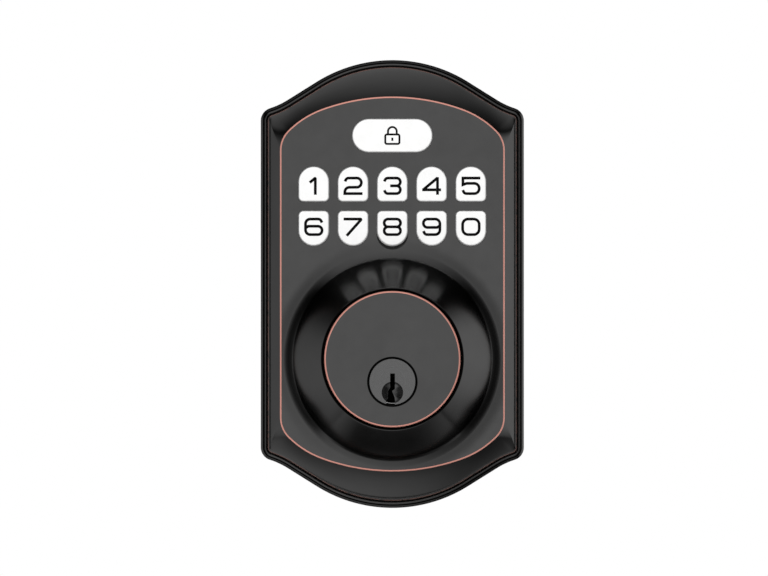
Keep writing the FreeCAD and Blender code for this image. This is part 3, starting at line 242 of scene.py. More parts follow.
def key_size(node):
    """Middle, width and height of a key's cap."""
    low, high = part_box(node)
    size = (high - low) / MM
    middle = (low + high) / 2 / MM
    return (middle.x, middle.z), size.x - 2 * KEY_FLANGE, size.z - 2 * KEY_FLANGE


def key_outline(name, grow, drop=0.0):
    """A key's outline grown all round; `drop` lengthens it downwards."""
    middle, wide, tall = key_size(name)
    if name == "lock_key":
        return capsule(wide + 2 * grow, tall + 2 * grow) + middle
    outline = tombstone(wide + 2 * grow, tall + 2 * grow, KEY_CORNER + grow)
    if name[-1] in LOWER_KEYS:
        outline = outline * (1, -1)
        lower = outline[:, 1] < (wide - tall) / 2 + WELD
        outline[lower, 1] -= drop
    return outline + middle


def bow(start, end, radius, count):
    """Points on an arc between two (radius, height) points; a negative radius hollows it."""
    start, end = np.array(start), np.array(end)
    chord = end - start
    half = np.hypot(*chord) / 2
    across = np.array([-chord[1], chord[0]]) / (2 * half) * math.copysign(1, radius)
    centre = (start + end) / 2 + across * math.sqrt(radius ** 2 - half ** 2)
    first, last = (math.atan2(*(point - centre)[::-1]) for point in (start, end))
    last = first + (last - first + math.pi) % (2 * math.pi) - math.pi
    angles = np.linspace(first, last, count)
    return centre + np.column_stack([np.cos(angles), np.sin(angles)]) * abs(radius)


def rounding(start, end, count):
    """Steps of a quarter ellipse that leaves `start` along the height: pairs of (inset, height)."""
    turns = np.radians(np.linspace(0, 90, count))
    return [(start[0] + (end[0] - start[0]) * (1 - math.cos(turn)),
             start[1] + (end[1] - start[1]) * math.sin(turn)) for turn in turns]


# ---------------------------------------------------------------- closed meshes

def placed(name, data):
    """A new object in the scene that shows a mesh, a light or a camera."""
    made = bpy.data.objects.new(name, data)
    bpy.context.scene.collection.objects.link(made)
    return made


class Shell:
    """A closed mesh made of bands between rings, and of flat regions inside rings."""

    def __init__(self):
        self.bm = bmesh.new()

    def ring(self, loop, height):
        """Vertices along an outline at a height."""
        return [self.bm.verts.new((x * MM, -height * MM, z * MM)) for x, z in loop]

    def band(self, first, second, finish=PLAIN):
        """Faces between two rings of as many vertices."""
        for index in range(len(first)):
            before = index - 1
            face = self.bm.faces.new((first[before], first[index], second[index], second[before]))
            face.material_index = finish
            face.smooth = True

    def climb(self, ring, steps, finish=PLAIN):
        """Bands from a ring through (loop, height) steps; gives the last ring."""
        for loop, height in steps:
            following = self.ring(loop, height)
            self.band(ring, following, finish)
            ring = following
        return ring

    def fill(self, rings, finish=PLAIN):
        """A flat region inside the first ring and outside the others."""
        edges = []
        for ring in rings:
            for index, vertex in enumerate(ring):
                pair = (ring[index - 1], vertex)
                edges.append(self.bm.edges.get(pair) or self.bm.edges.new(pair))
        made = bmesh.ops.triangle_fill(self.bm, edges=edges, use_beauty=True)
        faces = [item for item in made["geom"] if isinstance(item, bmesh.types.BMFace)]
        for face in faces:
            face.material_index = finish
            face.smooth = False
        # The fill can cover a hole too; the holes are convex, so such a face has all its corners on one.
        holes = [set(ring) for ring in rings[1:]]
        covers = [face for face in faces if any(hole.issuperset(face.verts) for hole in holes)]
        bmesh.ops.delete(self.bm, geom=covers, context="FACES")

    def piece(self, name, materials):
        """The mesh as an object, welded, with its normals outward and its hard edges marked."""
        bmesh.ops.remove_doubles(self.bm, verts=self.bm.verts, dist=WELD)
        bmesh.ops.recalc_face_normals(self.bm, faces=self.bm.faces)
        for edge in self.bm.edges:
            edge.smooth = len(edge.link_faces) == 2 and edge.calc_face_angle() < SHARP
        mesh = bpy.data.meshes.new(name)
        self.bm.to_mesh(mesh)
        self.bm.free()
        for material in materials:
            mesh.materials.append(material)
        return placed(name, mesh)


def rim_steps():
    """Profile of the rim from the rear edge to the cove's foot: (inset, height, finish) steps."""
    outer = [(0.15, REAR), (0.0, REAR + 0.15), (0.1, 1.9), (0.5, 3.1), (0.6, 3.22), (0.68, 3.15),
             (0.76, 2.8)]
    bead = [(0.84, 2.85), (0.94, 3.25), *bow((1.0, 3.4), (1.68, 3.36), -0.43, 8), (1.74, 3.1)]
    groove = [(1.8, 2.97), (1.88, 2.9), (1.96, 2.95), (2.0, 3.2)]
    lip = [(2.06, 3.45), (2.13, 3.57), (2.22, 3.6)]
    return ([(*step, PLAIN) for step in outer + bead + groove]
            + [(*step, LINE) for step in lip] + [(COVE_INSET, COVE_FOOT, PLAIN)])


def cove_steps():
    """The cove from its foot up: nearly an ellipse at top and bottom, straighter at the sides."""
    straight = along_quarter(*COVE_STRAIGHT)
    for turn in np.radians(np.linspace(0, 90, COVE_ROWS + 1))[1:]:
        rise = 1 - math.cos(turn)
        share = math.sin(turn) * (1 - straight) + rise * straight
        yield blended(COVE_INSET, 0, share), COVE_FOOT + (COVE_TOP - COVE_FOOT) * rise


def dome_steps():
    """Profile of the dome from its foot to the edge of its mouth: (radius, height) steps."""
    cone_foot = np.array([CONE_FOOT_RADIUS, CONE_FOOT])
    cone_top = np.array([CONE_TOP_RADIUS, DOME_FRONT - PANEL_FRONT])
    steps = list(bow((FOOT_RADIUS, 0), cone_foot, -FOOT_ROUND, 14)[1:])
    steps += [cone_foot + (cone_top - cone_foot) * share for share in (0.03, 0.5, 0.96)]
    rounded_lip = [(19.67, 33.2), (19.62, 33.27), (19.57, 33.3), (19.52, 33.27)]
    return [(radius, PANEL_FRONT + height) for radius, height in steps] + rounded_lip


def mouth_steps():
    """Profile of the mouth's wall, rounded in front, and of the wider bore behind it."""
    mouth_end = DOME_FRONT - MOUTH_DEPTH
    return [(19.48, 33.15), (19.3, 32.3), (MOUTH_RADIUS, 32.0), (MOUTH_RADIUS, mouth_end),
            (BORE_RADIUS, mouth_end), (BORE_RADIUS, PANEL_BACK)]


def circles(steps):
    """Rings about the dome's axis from (radius, height) steps."""
    return [(circle(radius), height) for radius, height in steps]


def key_well(shell, name):
    """A key's well through the panel: its rings in the panel's front and back."""
    drop = NOTCH_DROP if name == NOTCHED_KEY else 0.0
    steps = [(key_outline(name, KEY_GAP + out, drop), PANEL_FRONT - down) for out, down in KEY_WELL_EDGE]
    if drop:
        steps.append((key_outline(name, KEY_GAP), PANEL_FRONT - NOTCH_DEPTH))
    mouth = shell.ring(*steps[0])
    edge = shell.climb(mouth, steps[1:])
    # The well's walls behind its rounded edge take the near-black painted shade.
    return mouth, shell.climb(edge, [(key_outline(name, KEY_GAP), PANEL_BACK)], PAINTED_SHADE)


def boss(shell, side, rise, radius, bore, end, bore_end):
    """A boss behind the panel, with a blind bore for its screw."""
    root = shell.ring(small_circle(radius, side, rise), PANEL_BACK + BOSS_ROOT)
    floor = shell.climb(root, [(small_circle(size, side, rise), height)
                               for size, height in ((radius, end), (bore, end), (bore, bore_end))])
    shell.fill([root])
    shell.fill([floor])


def escutcheon(materials):
    """The casting: stepped rim, cove, raised panel with its wells, dome, and the hollow inside."""
    shell = Shell()
    first = shell.ring(rim(RECESS_INSET), REAR)
    ring = first
    for inset, height, finish in rim_steps():
        ring = shell.climb(ring, [(rim(inset), height)], finish)
    ring = shell.climb(ring, cove_steps())
    edge_steps = rounding((0.0, COVE_TOP), (PANEL_EDGE, PANEL_FRONT), 5)[1:]
    front = shell.climb(ring, [(panel(inset), height) for inset, height in edge_steps], WORN)

    ring = shell.climb(first, [
        (rim(RECESS_INSET), RECESS_FRONT),
        (blended(COVE_INSET + WALL, WALL, CAVITY_SHARE), RECESS_FRONT)])
    back = shell.climb(ring, [(blended(COVE_INSET + WALL, WALL, 1), PANEL_BACK)])

    wells = [key_well(shell, name) for name in KEY_NODES]
    dome_foot = shell.ring(circle(FOOT_RADIUS), PANEL_FRONT)
    lip = shell.climb(dome_foot, circles(dome_steps()))
    # The mouth's wall and the bore behind it take the near-black painted shade.
    dome_back = shell.climb(lip, circles(mouth_steps()), PAINTED_SHADE)
    for sites, sizes in ((BOARD_BOSSES, BOARD_BOSS), (PLATE_BOSSES, PLATE_BOSS)):
        for side, rise in sites:
            boss(shell, side, rise, *sizes)
    shell.fill([front, *(mouth for mouth, _ in wells), dome_foot])
    shell.fill([back, *(end for _, end in wells), dome_back])
    return shell.piece("casting", materials)


def cylinder_cap(materials):
    """The cap: flange, worn edge, and the off-centre well round the plug's head."""
    shell = Shell()
    back = shell.ring(circle(CAP_FLANGE_RADIUS), CAP_BACK)
    # The cap's flange and hidden side take the near-black painted shade.
    ring = shell.climb(back, circles([
        (CAP_FLANGE_RADIUS, CAP_FLANGE_FRONT), (CAP_RADIUS, CAP_FLANGE_FRONT),
        (CAP_RADIUS, DOME_FRONT - CAP_EDGE)]), PAINTED_SHADE)
    edge_steps = rounding((0.0, DOME_FRONT - CAP_EDGE), (CAP_EDGE, DOME_FRONT), 6)[1:]
    edge_circles = circles([(CAP_RADIUS - inset, height) for inset, height in edge_steps])
    front = shell.climb(ring, edge_circles, WORN)

    well_floor = DOME_FRONT - PLUG_WELL_DEPTH
    steps = [(circle(PLUG_WELL_RADIUS + out, rise=0.0), DOME_FRONT - down)
             for out, down in PLUG_WELL_EDGE]
    mouth = shell.ring(*steps[0])
    edge = shell.climb(mouth, steps[1:])
    # The plug well's wall and floor, and the bore behind them, take the near-black painted shade.
    bore = shell.climb(edge, [
        (circle(PLUG_WELL_RADIUS, rise=0.0), well_floor),
        (circle(PLUG_BORE, rise=0.0), well_floor),
        (circle(PLUG_BORE, rise=0.0), CAP_BACK)], PAINTED_SHADE)
    shell.fill([front, mouth])
    shell.fill([back, bore])
    return shell.piece("cylinder_face", materials)


# ---------------------------------------------------------------- legends on the keys

INK_HALF, PADLOCK_HALF = 0.385, 0.27        # half the width of a stroke
INK_SUNK, INK_PROUD = 0.03, 0.02            # how far the ink is into the key's face and over it
INK_MERGE = 0.01                            # points of a stroke nearer than this are one
INK_WIDE, INK_TALL, INK_ROUND = 2.28, 2.14, 1.3

# Each stroke is a row of (across, up, corner radius) about the glyph's middle; a stroke that ends
# where it began is closed.
SMALL_ROUND, HOOK = 1.05, 0.9
UPPER_BOWL = [(-2.2, 1.2, 0), (-1.8, INK_TALL, HOOK), (2.2, INK_TALL, SMALL_ROUND),
              (2.2, 0.0, SMALL_ROUND)]
SIX = [
    [(2.25, 1.15, 0), (1.8, INK_TALL, HOOK), (-INK_WIDE, INK_TALL, INK_ROUND),
     (-INK_WIDE, -INK_TALL, INK_ROUND), (0.2, -INK_TALL, 0)],
    [(-0.2, -INK_TALL, 0), (INK_WIDE, -INK_TALL, 1.15), (INK_WIDE, 0.17, 1.15), (-1.6, 0.17, 0.6),
     (-2.25, -0.35, 0)],
]
GLYPHS = {
    "1": [[(-1.12, 0.88, 0), (0.42, 2.18, 0.1), (0.42, -2.45, 0)]],
    "2": [[(-2.2, 1.2, 0), (-1.8, INK_TALL, HOOK), (INK_WIDE, INK_TALL, 1.25),
           (INK_WIDE, -0.38, 1.25), (-INK_WIDE, -0.42, INK_ROUND), (-INK_WIDE, -INK_TALL, 0),
           (2.6, -INK_TALL, 0)]],
    "3": [
        UPPER_BOWL + [(-0.6, 0.0, 0)],
        [(x, -z, corner) for x, z, corner in UPPER_BOWL] + [(1.0, 0.0, 0)],
    ],
    "4": [
        [(1.62, -2.45, 0), (1.62, 2.4, 0)],
        [(1.62, 2.2, 0), (-2.35, -1.1, 0)],
        [(-2.6, -1.1, 0), (2.6, -1.1, 0)],
    ],
    "5": [[(2.6, INK_TALL, 0), (-2.2, INK_TALL, 0), (-2.2, 0.3, 0), (-1.2, 0.67, 0.8),
           (INK_WIDE, 0.67, 1.35), (INK_WIDE, -INK_TALL, 1.35), (-1.8, -INK_TALL, HOOK),
           (-2.22, -1.15, 0)]],
    "6": SIX,
    "7": [[(-2.6, INK_TALL, 0), (2.35, INK_TALL, 0.15), (-1.75, -2.45, 0)]],
    "8": [
        [(0, sign * INK_TALL, 0), (2.25, sign * INK_TALL, SMALL_ROUND), (2.25, 0, SMALL_ROUND),
         (-2.25, 0, SMALL_ROUND), (-2.25, sign * INK_TALL, SMALL_ROUND), (0, sign * INK_TALL, 0)]
        for sign in (1, -1)
    ],
    "9": [[(-x, -z, corner) for x, z, corner in stroke] for stroke in SIX],
    "0": [[(0, INK_TALL, 0), (INK_WIDE, INK_TALL, 1.5), (INK_WIDE, -INK_TALL, 1.5),
           (-INK_WIDE, -INK_TALL, 1.5), (-INK_WIDE, INK_TALL, 1.5), (0, INK_TALL, 0)]],
}
PADLOCK = [
    [(0, 0.25, 0), (1.95, 0.25, 0.45), (1.95, -2.35, 0.45), (-1.95, -2.35, 0.45), (-1.95, 0.25, 0.45),
     (0, 0.25, 0)],
    [(-1.2, 0.1, 0), (-1.2, 2.3, 1.2), (1.2, 2.3, 1.2), (1.2, 0.1, 0)],
    [(0, -0.65, 0), (0, -1.5, 0)],
]
GLYPH_RISE = {"upper": -0.5, "lower": 0.4, "lock": 0.05}    # glyph's middle above the key's middle


def rounded_line(stroke, corner_points=9):
    """Centreline of a stroke with its corners rounded."""
    points = [np.array(stroke[0][:2], float)]
    for before, (x, z, radius), after in zip(stroke, stroke[1:], stroke[2:]):
        corner = np.array([x, z], float)
        legs = [np.array(other[:2], float) - corner for other in (before, after)]
        ways = [leg / np.hypot(*leg) for leg in legs]
        if not radius:
            points.append(corner)
            continue
        half_turn = math.acos(np.clip(ways[0] @ ways[1], -1, 1)) / 2
        setback = radius / math.tan(half_turn)
        entry, leave = (corner + way * setback for way in ways)
        inward = ways[0] + ways[1]
        centre = corner + inward / np.hypot(*inward) * radius / math.sin(half_turn)
        first, last = (math.atan2(*(point - centre)[::-1]) for point in (entry, leave))
        last = first + (last - first + math.pi) % (2 * math.pi) - math.pi
        angles = np.linspace(first, last, corner_points)
        points += list(centre + np.column_stack([np.cos(angles), np.sin(angles)]) * radius)
    points.append(np.array(stroke[-1][:2], float))
    gaps = np.hypot(*np.diff(points, axis=0).T)
    return np.array(points)[[True, *(gaps > INK_MERGE)]]


def ribbon(stroke, middle, half):
    """A stroke as a thin closed slab set in a key's face."""
    line = rounded_line(stroke)
    closed = np.allclose(line[0], line[-1])
    if closed:
        line = line[:-1]
    before, after = np.roll(line, 1, axis=0), np.roll(line, -1, axis=0)
    if not closed:
        before[0], after[-1] = 2 * line[0] - line[1], 2 * line[-1] - line[-2]
    ways = [way / np.hypot(*way.T)[:, None] for way in (line - before, after - line)]
    sides = [np.column_stack([-way[:, 1], way[:, 0]]) for way in ways]
    mitre = sides[0] + sides[1]
    mitre = mitre / (mitre * sides[0]).sum(axis=1)[:, None]
    bm = bmesh.new()
    rails = []
    for reach in (half, -half):
        for height in (KEY_FACE - INK_SUNK, KEY_FACE + INK_PROUD):
            rails.append([bm.verts.new((x * MM, -height * MM, z * MM))
                          for x, z in line + mitre * reach + middle])
    rails = [rails[0], rails[1], rails[3], rails[2]]
    count = len(line)
    for index in range(count if closed else count - 1):
        ahead = (index + 1) % count
        for rail, following in zip(rails, rails[1:] + rails[:1]):
            bm.faces.new((rail[index], rail[ahead], following[ahead], following[index]))
    if not closed:
        for index in (0, -1):
            bm.faces.new([rail[index] for rail in rails])
    bmesh.ops.recalc_face_normals(bm, faces=bm.faces)
    mesh = bpy.data.meshes.new("stroke")
    bm.to_mesh(mesh)
    bm.free()
    return placed("stroke", mesh)


def legend(name, strokes, middle, half, material):
    """One closed mesh from all strokes of a glyph."""
    ribbons = [ribbon(stroke, middle, half) for stroke in strokes]
    base = ribbons[0]
    for other in ribbons[1:]:
        join = base.modifiers.new("join", "BOOLEAN")
        join.operation, join.solver, join.object = "UNION", "EXACT", other
    mesh = bpy.data.meshes.new_from_object(base.evaluated_get(bpy.context.evaluated_depsgraph_get()))
    for used in ribbons:
        bpy.data.objects.remove(used)
    mesh.name = name
    mesh.materials.clear()
    mesh.materials.append(material)
    return placed(name, mesh)


def legends(material):
    """The digits on the keys, and a padlock on the lock key."""
    for row, digits in (("upper", UPPER_KEYS), ("lower", LOWER_KEYS)):
        for digit in digits:
            middle, _, _ = key_size(f"key_{digit}")
            place = np.array(middle) + (0, GLYPH_RISE[row])
            made = legend(f"legend_{digit}", GLYPHS[digit], place, INK_HALF, material)
            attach(made, f"key_{digit}")
    middle, _, _ = key_size("lock_key")
    place = np.array(middle) + (0, GLYPH_RISE["lock"])
    made = legend("legend_lock", PADLOCK, place, PADLOCK_HALF, material)
    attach(made, "lock_key")


# ---------------------------------------------------------------- materials

class Paint:
    """A Principled material and short ways to add its nodes."""

    def __init__(self, name, **constants):
        self.material = bpy.data.materials.new(name)
        self.material.use_nodes = True
        self.tree = self.material.node_tree
        self.shader = self.tree.nodes["Principled BSDF"]
        self.place = self.add("ShaderNodeTexCoord").outputs["Object"]
        for socket, constant in constants.items():
            self.shader.inputs[socket.replace("_", " ")].default_value = constant

    def add(self, kind, **settings):
        """A new node."""
        made = self.tree.nodes.new(kind)
        for key, setting in settings.items():
            setattr(made, key, setting)
        return made

    def link(self, output, target):
        """Feeds an output into a socket."""
        self.tree.links.new(output, target)

    def stretched(self, scale):
        """Object coordinates scaled apart along each axis."""
        mapping = self.add("ShaderNodeMapping")
        mapping.inputs["Scale"].default_value = scale
        self.link(self.place, mapping.inputs["Vector"])
        return mapping.outputs["Vector"]

    def noise(self, scale, detail=3.0, roughness=0.55, where=None):
        """Noise with `scale` features in a metre."""
        made = self.add("ShaderNodeTexNoise")
        made.inputs["Scale"].default_value = scale
        made.inputs["Detail"].default_value = detail
        made.inputs["Roughness"].default_value = roughness
        self.link(where or self.place, made.inputs["Vector"])
        return made.outputs["Fac"]

    def cells(self, scale):
        """Round cells, as in foam: the distance from the nearest middle."""
        made = self.add("ShaderNodeTexVoronoi")
        made.inputs["Scale"].default_value = scale
        self.link(self.place, made.inputs["Vector"])
        return made.outputs["Distance"]

    def ramp(self, factor, *stops):
        """Colour ramp of (place, colour or grey) stops."""
        made = self.add("ShaderNodeValToRGB")
        elements = made.color_ramp.elements
        while len(elements) < len(stops):
            elements.new(0.5)
        for element, (position, colour) in zip(elements, stops):
            element.position = position
            element.color = (*colour, 1) if isinstance(colour, tuple) else (colour, colour, colour, 1)
        self.link(factor, made.inputs["Fac"])
        return made.outputs["Color"]

    def mapped(self, output, start, end, first, last, interpolation="LINEAR"):
        """A number that goes from `first` to `last` while another goes from `start` to `end`."""
        made = self.add("ShaderNodeMapRange", interpolation_type=interpolation)
        made.inputs["From Min"].default_value, made.inputs["From Max"].default_value = start, end
        made.inputs["To Min"].default_value, made.inputs["To Max"].default_value = first, last
        self.link(output, made.inputs["Value"])
        return made.outputs["Result"]

    def between(self, factor, low, high):
        """A number that follows a pattern between two limits."""
        return self.mapped(factor, 0.3, 0.7, low, high)

    def fade(self, output, start, end):
        """One up to `start`, falling smoothly to nothing at `end`."""
        return self.mapped(output, start, end, 1.0, 0.0, "SMOOTHSTEP")

    def colour(self, output):
        """Sets the pattern of the colour."""
        self.link(output, self.shader.inputs["Base Color"])
        return self

    def rough(self, output):
        """Sets the pattern of the roughness."""
        self.link(output, self.shader.inputs["Roughness"])
        return self

    def bump(self, *layers):
        """Relief: each layer is a pattern and its depth in millimetres."""
        normal = None
        for output, depth in layers:
            made = self.add("ShaderNodeBump")
            made.inputs["Strength"].default_value = 1.0
            made.inputs["Distance"].default_value = depth * MM
            self.link(output, made.inputs["Height"])
            if normal:
                self.link(normal, made.inputs["Normal"])
            normal = made.outputs["Normal"]
        self.link(normal, self.shader.inputs["Normal"])
        return self

    def depth(self):
        """Y, in metres."""
        split = self.add("ShaderNodeSeparateXYZ")
        self.link(self.place, split.inputs["Vector"])
        return split.outputs["Y"]

    def radius(self, rise):
        """Distance from a line along Y that is `rise` millimetres up, in metres."""
        mapping = self.add("ShaderNodeMapping")
        mapping.inputs["Location"].default_value = (0, 0, -rise * MM)
        mapping.inputs["Scale"].default_value = (1, 0, 1)
        self.link(self.place, mapping.inputs["Vector"])
        length = self.add("ShaderNodeVectorMath", operation="LENGTH")
        self.link(mapping.outputs["Vector"], length.inputs[0])
        return length.outputs["Value"]


def shades(colour, spread):
    """Darker and lighter version of a colour."""
    return tuple(c * (1 - spread) for c in colour), tuple(min(1.0, c * (1 + spread)) for c in colour)


def solid(name, colour, spread, patch, rough, grain, depth, **constants):
    """Moulded, cast or rolled stuff: blotches of shade and gloss, and a fine grain."""
    paint = Paint(name, **constants)
    blotch = paint.noise(patch)
    dark, light = shades(colour, spread)
    paint.colour(paint.ramp(blotch, (0.3, dark), (0.7, light)))
    paint.rough(paint.between(paint.noise(patch * 2.3, detail=5), *rough))
    paint.bump((paint.noise(grain, detail=2), depth))
    return paint.material


def brushed(name, colour, spread, rough, scale, depth, **constants):
    """Metal with fine parallel scratches; `scale` is small along them."""
    paint = Paint(name, **constants)
    lines = paint.noise(1.0, detail=4, where=paint.stretched(scale))
    dark, light = shades(colour, spread)
    paint.colour(paint.ramp(lines, (0.3, dark), (0.7, light)))
    paint.rough(paint.between(lines, *rough))
    paint.bump((lines, depth))
    return paint.material


def turned(name, colour, spread, rough, rise, pitch, depth, **constants):
    """Metal with tool marks in rings about a line along Y."""
    paint = Paint(name, **constants)
    rings = paint.noise(pitch, detail=3, where=paint.radius(rise))
    dark, light = shades(colour, spread)
    paint.colour(paint.ramp(rings, (0.35, dark), (0.65, light)))
    paint.rough(paint.between(rings, *rough))
    paint.bump((rings, depth), (paint.noise(5000, detail=2), depth / 2))
    return paint.material


def dark_bronze():
    """Blackened bronze, satin and faintly cloudy, with relief round the dome and in the cove."""
    paint = Paint("dark_bronze", Metallic=1.0, Specular_Tint=(0.5, 0.5, 0.5, 1))
    cloud = paint.noise(90, detail=4)
    dark, light = (0.0845, 0.0842, 0.0838), (0.0895, 0.0892, 0.0888)
    paint.colour(paint.ramp(cloud, (0.3, dark), (0.7, light)))
    paint.rough(paint.between(paint.noise(260, detail=5), 0.19, 0.23))
    swell = paint.fade(paint.radius(DOME_RISE), *(radius * MM for radius in SWELL_RADII))
    draft = paint.mapped(paint.depth(), -COVE_TOP * MM, -COVE_FOOT * MM, 0.0, 1.0)
    paint.bump((swell, SWELL_DEPTH), (draft, COVE_DRAFT), (paint.noise(3200, detail=2), 0.0008),
               (paint.noise(500, detail=2), 0.0006))
    return paint.material


def worn_copper(name, copper, bronze, coverage):
    """Copper laid bare along an edge, thinner in places so that the dark finish comes through."""
    paint = Paint(name, Metallic=0.35)
    patches = paint.noise(700, detail=5, roughness=0.65)
    paint.colour(paint.ramp(patches, (coverage - 0.12, bronze), (coverage, copper), (0.8, copper)))
    paint.rough(paint.between(paint.noise(1500, detail=3), 0.42, 0.56))
    paint.bump((paint.noise(2600, detail=3), 0.002))
    return paint.material


def foam():
    """Closed-cell foam gasket."""
    paint = Paint("foam")
    cells = paint.cells(1600)
    paint.colour(paint.ramp(cells, (0.0, (0.012, 0.012, 0.013)), (0.6, (0.035, 0.035, 0.037))))
    paint.rough(paint.between(cells, 0.75, 0.95))
    paint.bump((cells, 0.08))
    return paint.material


def board_laminate():
    """Green solder mask over a faint weave and copper tracks."""
    paint = Paint("board_laminate", Coat_Weight=0.4, Coat_Roughness=0.15)
    tracks = paint.add("ShaderNodeTexBrick")
    tracks.inputs["Scale"].default_value = 260
    tracks.inputs["Mortar Size"].default_value = 0.03
    tracks.inputs["Color1"].default_value = (0.005, 0.06, 0.022, 1)
    tracks.inputs["Color2"].default_value = (0.006, 0.075, 0.028, 1)
    tracks.inputs["Mortar"].default_value = (0.02, 0.16, 0.06, 1)
    upright = paint.add("ShaderNodeMapping")
    upright.inputs["Rotation"].default_value = (math.radians(90), 0, 0)
    paint.link(paint.place, upright.inputs["Vector"])
    paint.link(upright.outputs["Vector"], tracks.inputs["Vector"])
    paint.colour(tracks.outputs["Color"])
    paint.rough(paint.between(paint.noise(400), 0.3, 0.42))
    paint.bump((tracks.outputs["Fac"], 0.02))
    return paint.material


def key_plastic():
    """White key plastic, with a faint painted glow that stands in for the backlight behind it."""
    paint = Paint("key_plastic", Emission_Color=(1, 1, 1, 1), Emission_Strength=0.1)
    dark, light = (0.86, 0.86, 0.855), (0.9, 0.9, 0.895)
    paint.colour(paint.ramp(paint.noise(300, detail=4), (0.3, dark), (0.7, light)))
    paint.rough(paint.between(paint.noise(900, detail=3), 0.34, 0.42))
    paint.bump((paint.noise(6000, detail=2), 0.003))
    return paint.material


# Where the painted shade in the keyway fades, as y in metres: the plug is painted black behind its fade,
# and the cylinder and the tailpiece are painted black in front of theirs, as the shade deep in the
# keyway.
PLUG_PAINTED_SHADE = case_low.y + 0.0011, case_low.y + 0.0019
BODY_PAINTED_SHADE = -0.026, -0.023
TAIL_PAINTED_SHADE = 0.002, 0.007


def plug_satin():
    """Satin face with faint turning marks; the keyway is painted black, as the shade deep inside it."""
    paint = Paint("plug_satin", Specular_Tint=(0.2, 0.2, 0.2, 1), Specular_IOR_Level=0.1)
    rings = paint.noise(9000, detail=3, where=paint.radius(0.0))
    outside = paint.fade(paint.depth(), *PLUG_PAINTED_SHADE)
    # Black deeper than the face: painted shade in the keyway.
    colour = paint.add("ShaderNodeMixRGB")
    colour.inputs["Color1"].default_value = (0.003, 0.003, 0.003, 1)
    paint.link(outside, colour.inputs["Fac"])
    paint.link(paint.ramp(rings, (0.35, 0.147), (0.65, 0.157)), colour.inputs["Color2"])
    paint.colour(colour.outputs["Color"])
    paint.link(outside, paint.shader.inputs["Metallic"])
    paint.rough(paint.between(rings, 0.24, 0.3))
    paint.bump((rings, 0.0012))
    return paint.material


def painted_shade_in_front(name, colour, scale, start, end):
    """Metal worked in lines: painted-shade black in front of y = `start`, and clean behind y = `end`."""
    paint = Paint(name, Specular_IOR_Level=0.1)
    lines = paint.noise(1.0, detail=4, where=paint.stretched(scale))
    black = paint.fade(paint.depth(), start, end)
    dark, light = shades(colour, 0.08)
    mixed = paint.add("ShaderNodeMixRGB")
    paint.link(black, mixed.inputs["Fac"])
    paint.link(paint.ramp(lines, (0.3, dark), (0.7, light)), mixed.inputs["Color1"])
    paint.link(paint.ramp(lines, (0.3, 0.002), (0.7, 0.004)), mixed.inputs["Color2"])
    paint.colour(mixed.outputs["Color"])
    paint.link(paint.mapped(black, 0.0, 1.0, 1.0, 0.0), paint.shader.inputs["Metallic"])
    paint.rough(paint.between(lines, 0.28, 0.42))
    paint.bump((lines, 0.003))
    return paint.material


bronze = dark_bronze()
edge_copper = worn_copper("edge_copper", (0.80, 0.36, 0.29), (0.30, 0.15, 0.12), 0.34)
lip_copper = worn_copper("lip_copper", (0.20, 0.115, 0.098), (0.075, 0.066, 0.062), 0.5)
# Painted shade: near-black paint that stands in for the shade in the key wells, in the dome's mouth and
# bore, and on the cap's hidden sides and bore.
painted_shade_black = solid("painted_shade_black", (0.004, 0.004, 0.004), 0.3, 500, (0.6, 0.8), 4000, 0.004,
                     Specular_IOR_Level=0.05)
ink = solid("key_ink", (0.003, 0.003, 0.003), 0.2, 900, (0.5, 0.62), 5000, 0.002,
            Specular_IOR_Level=0.08)

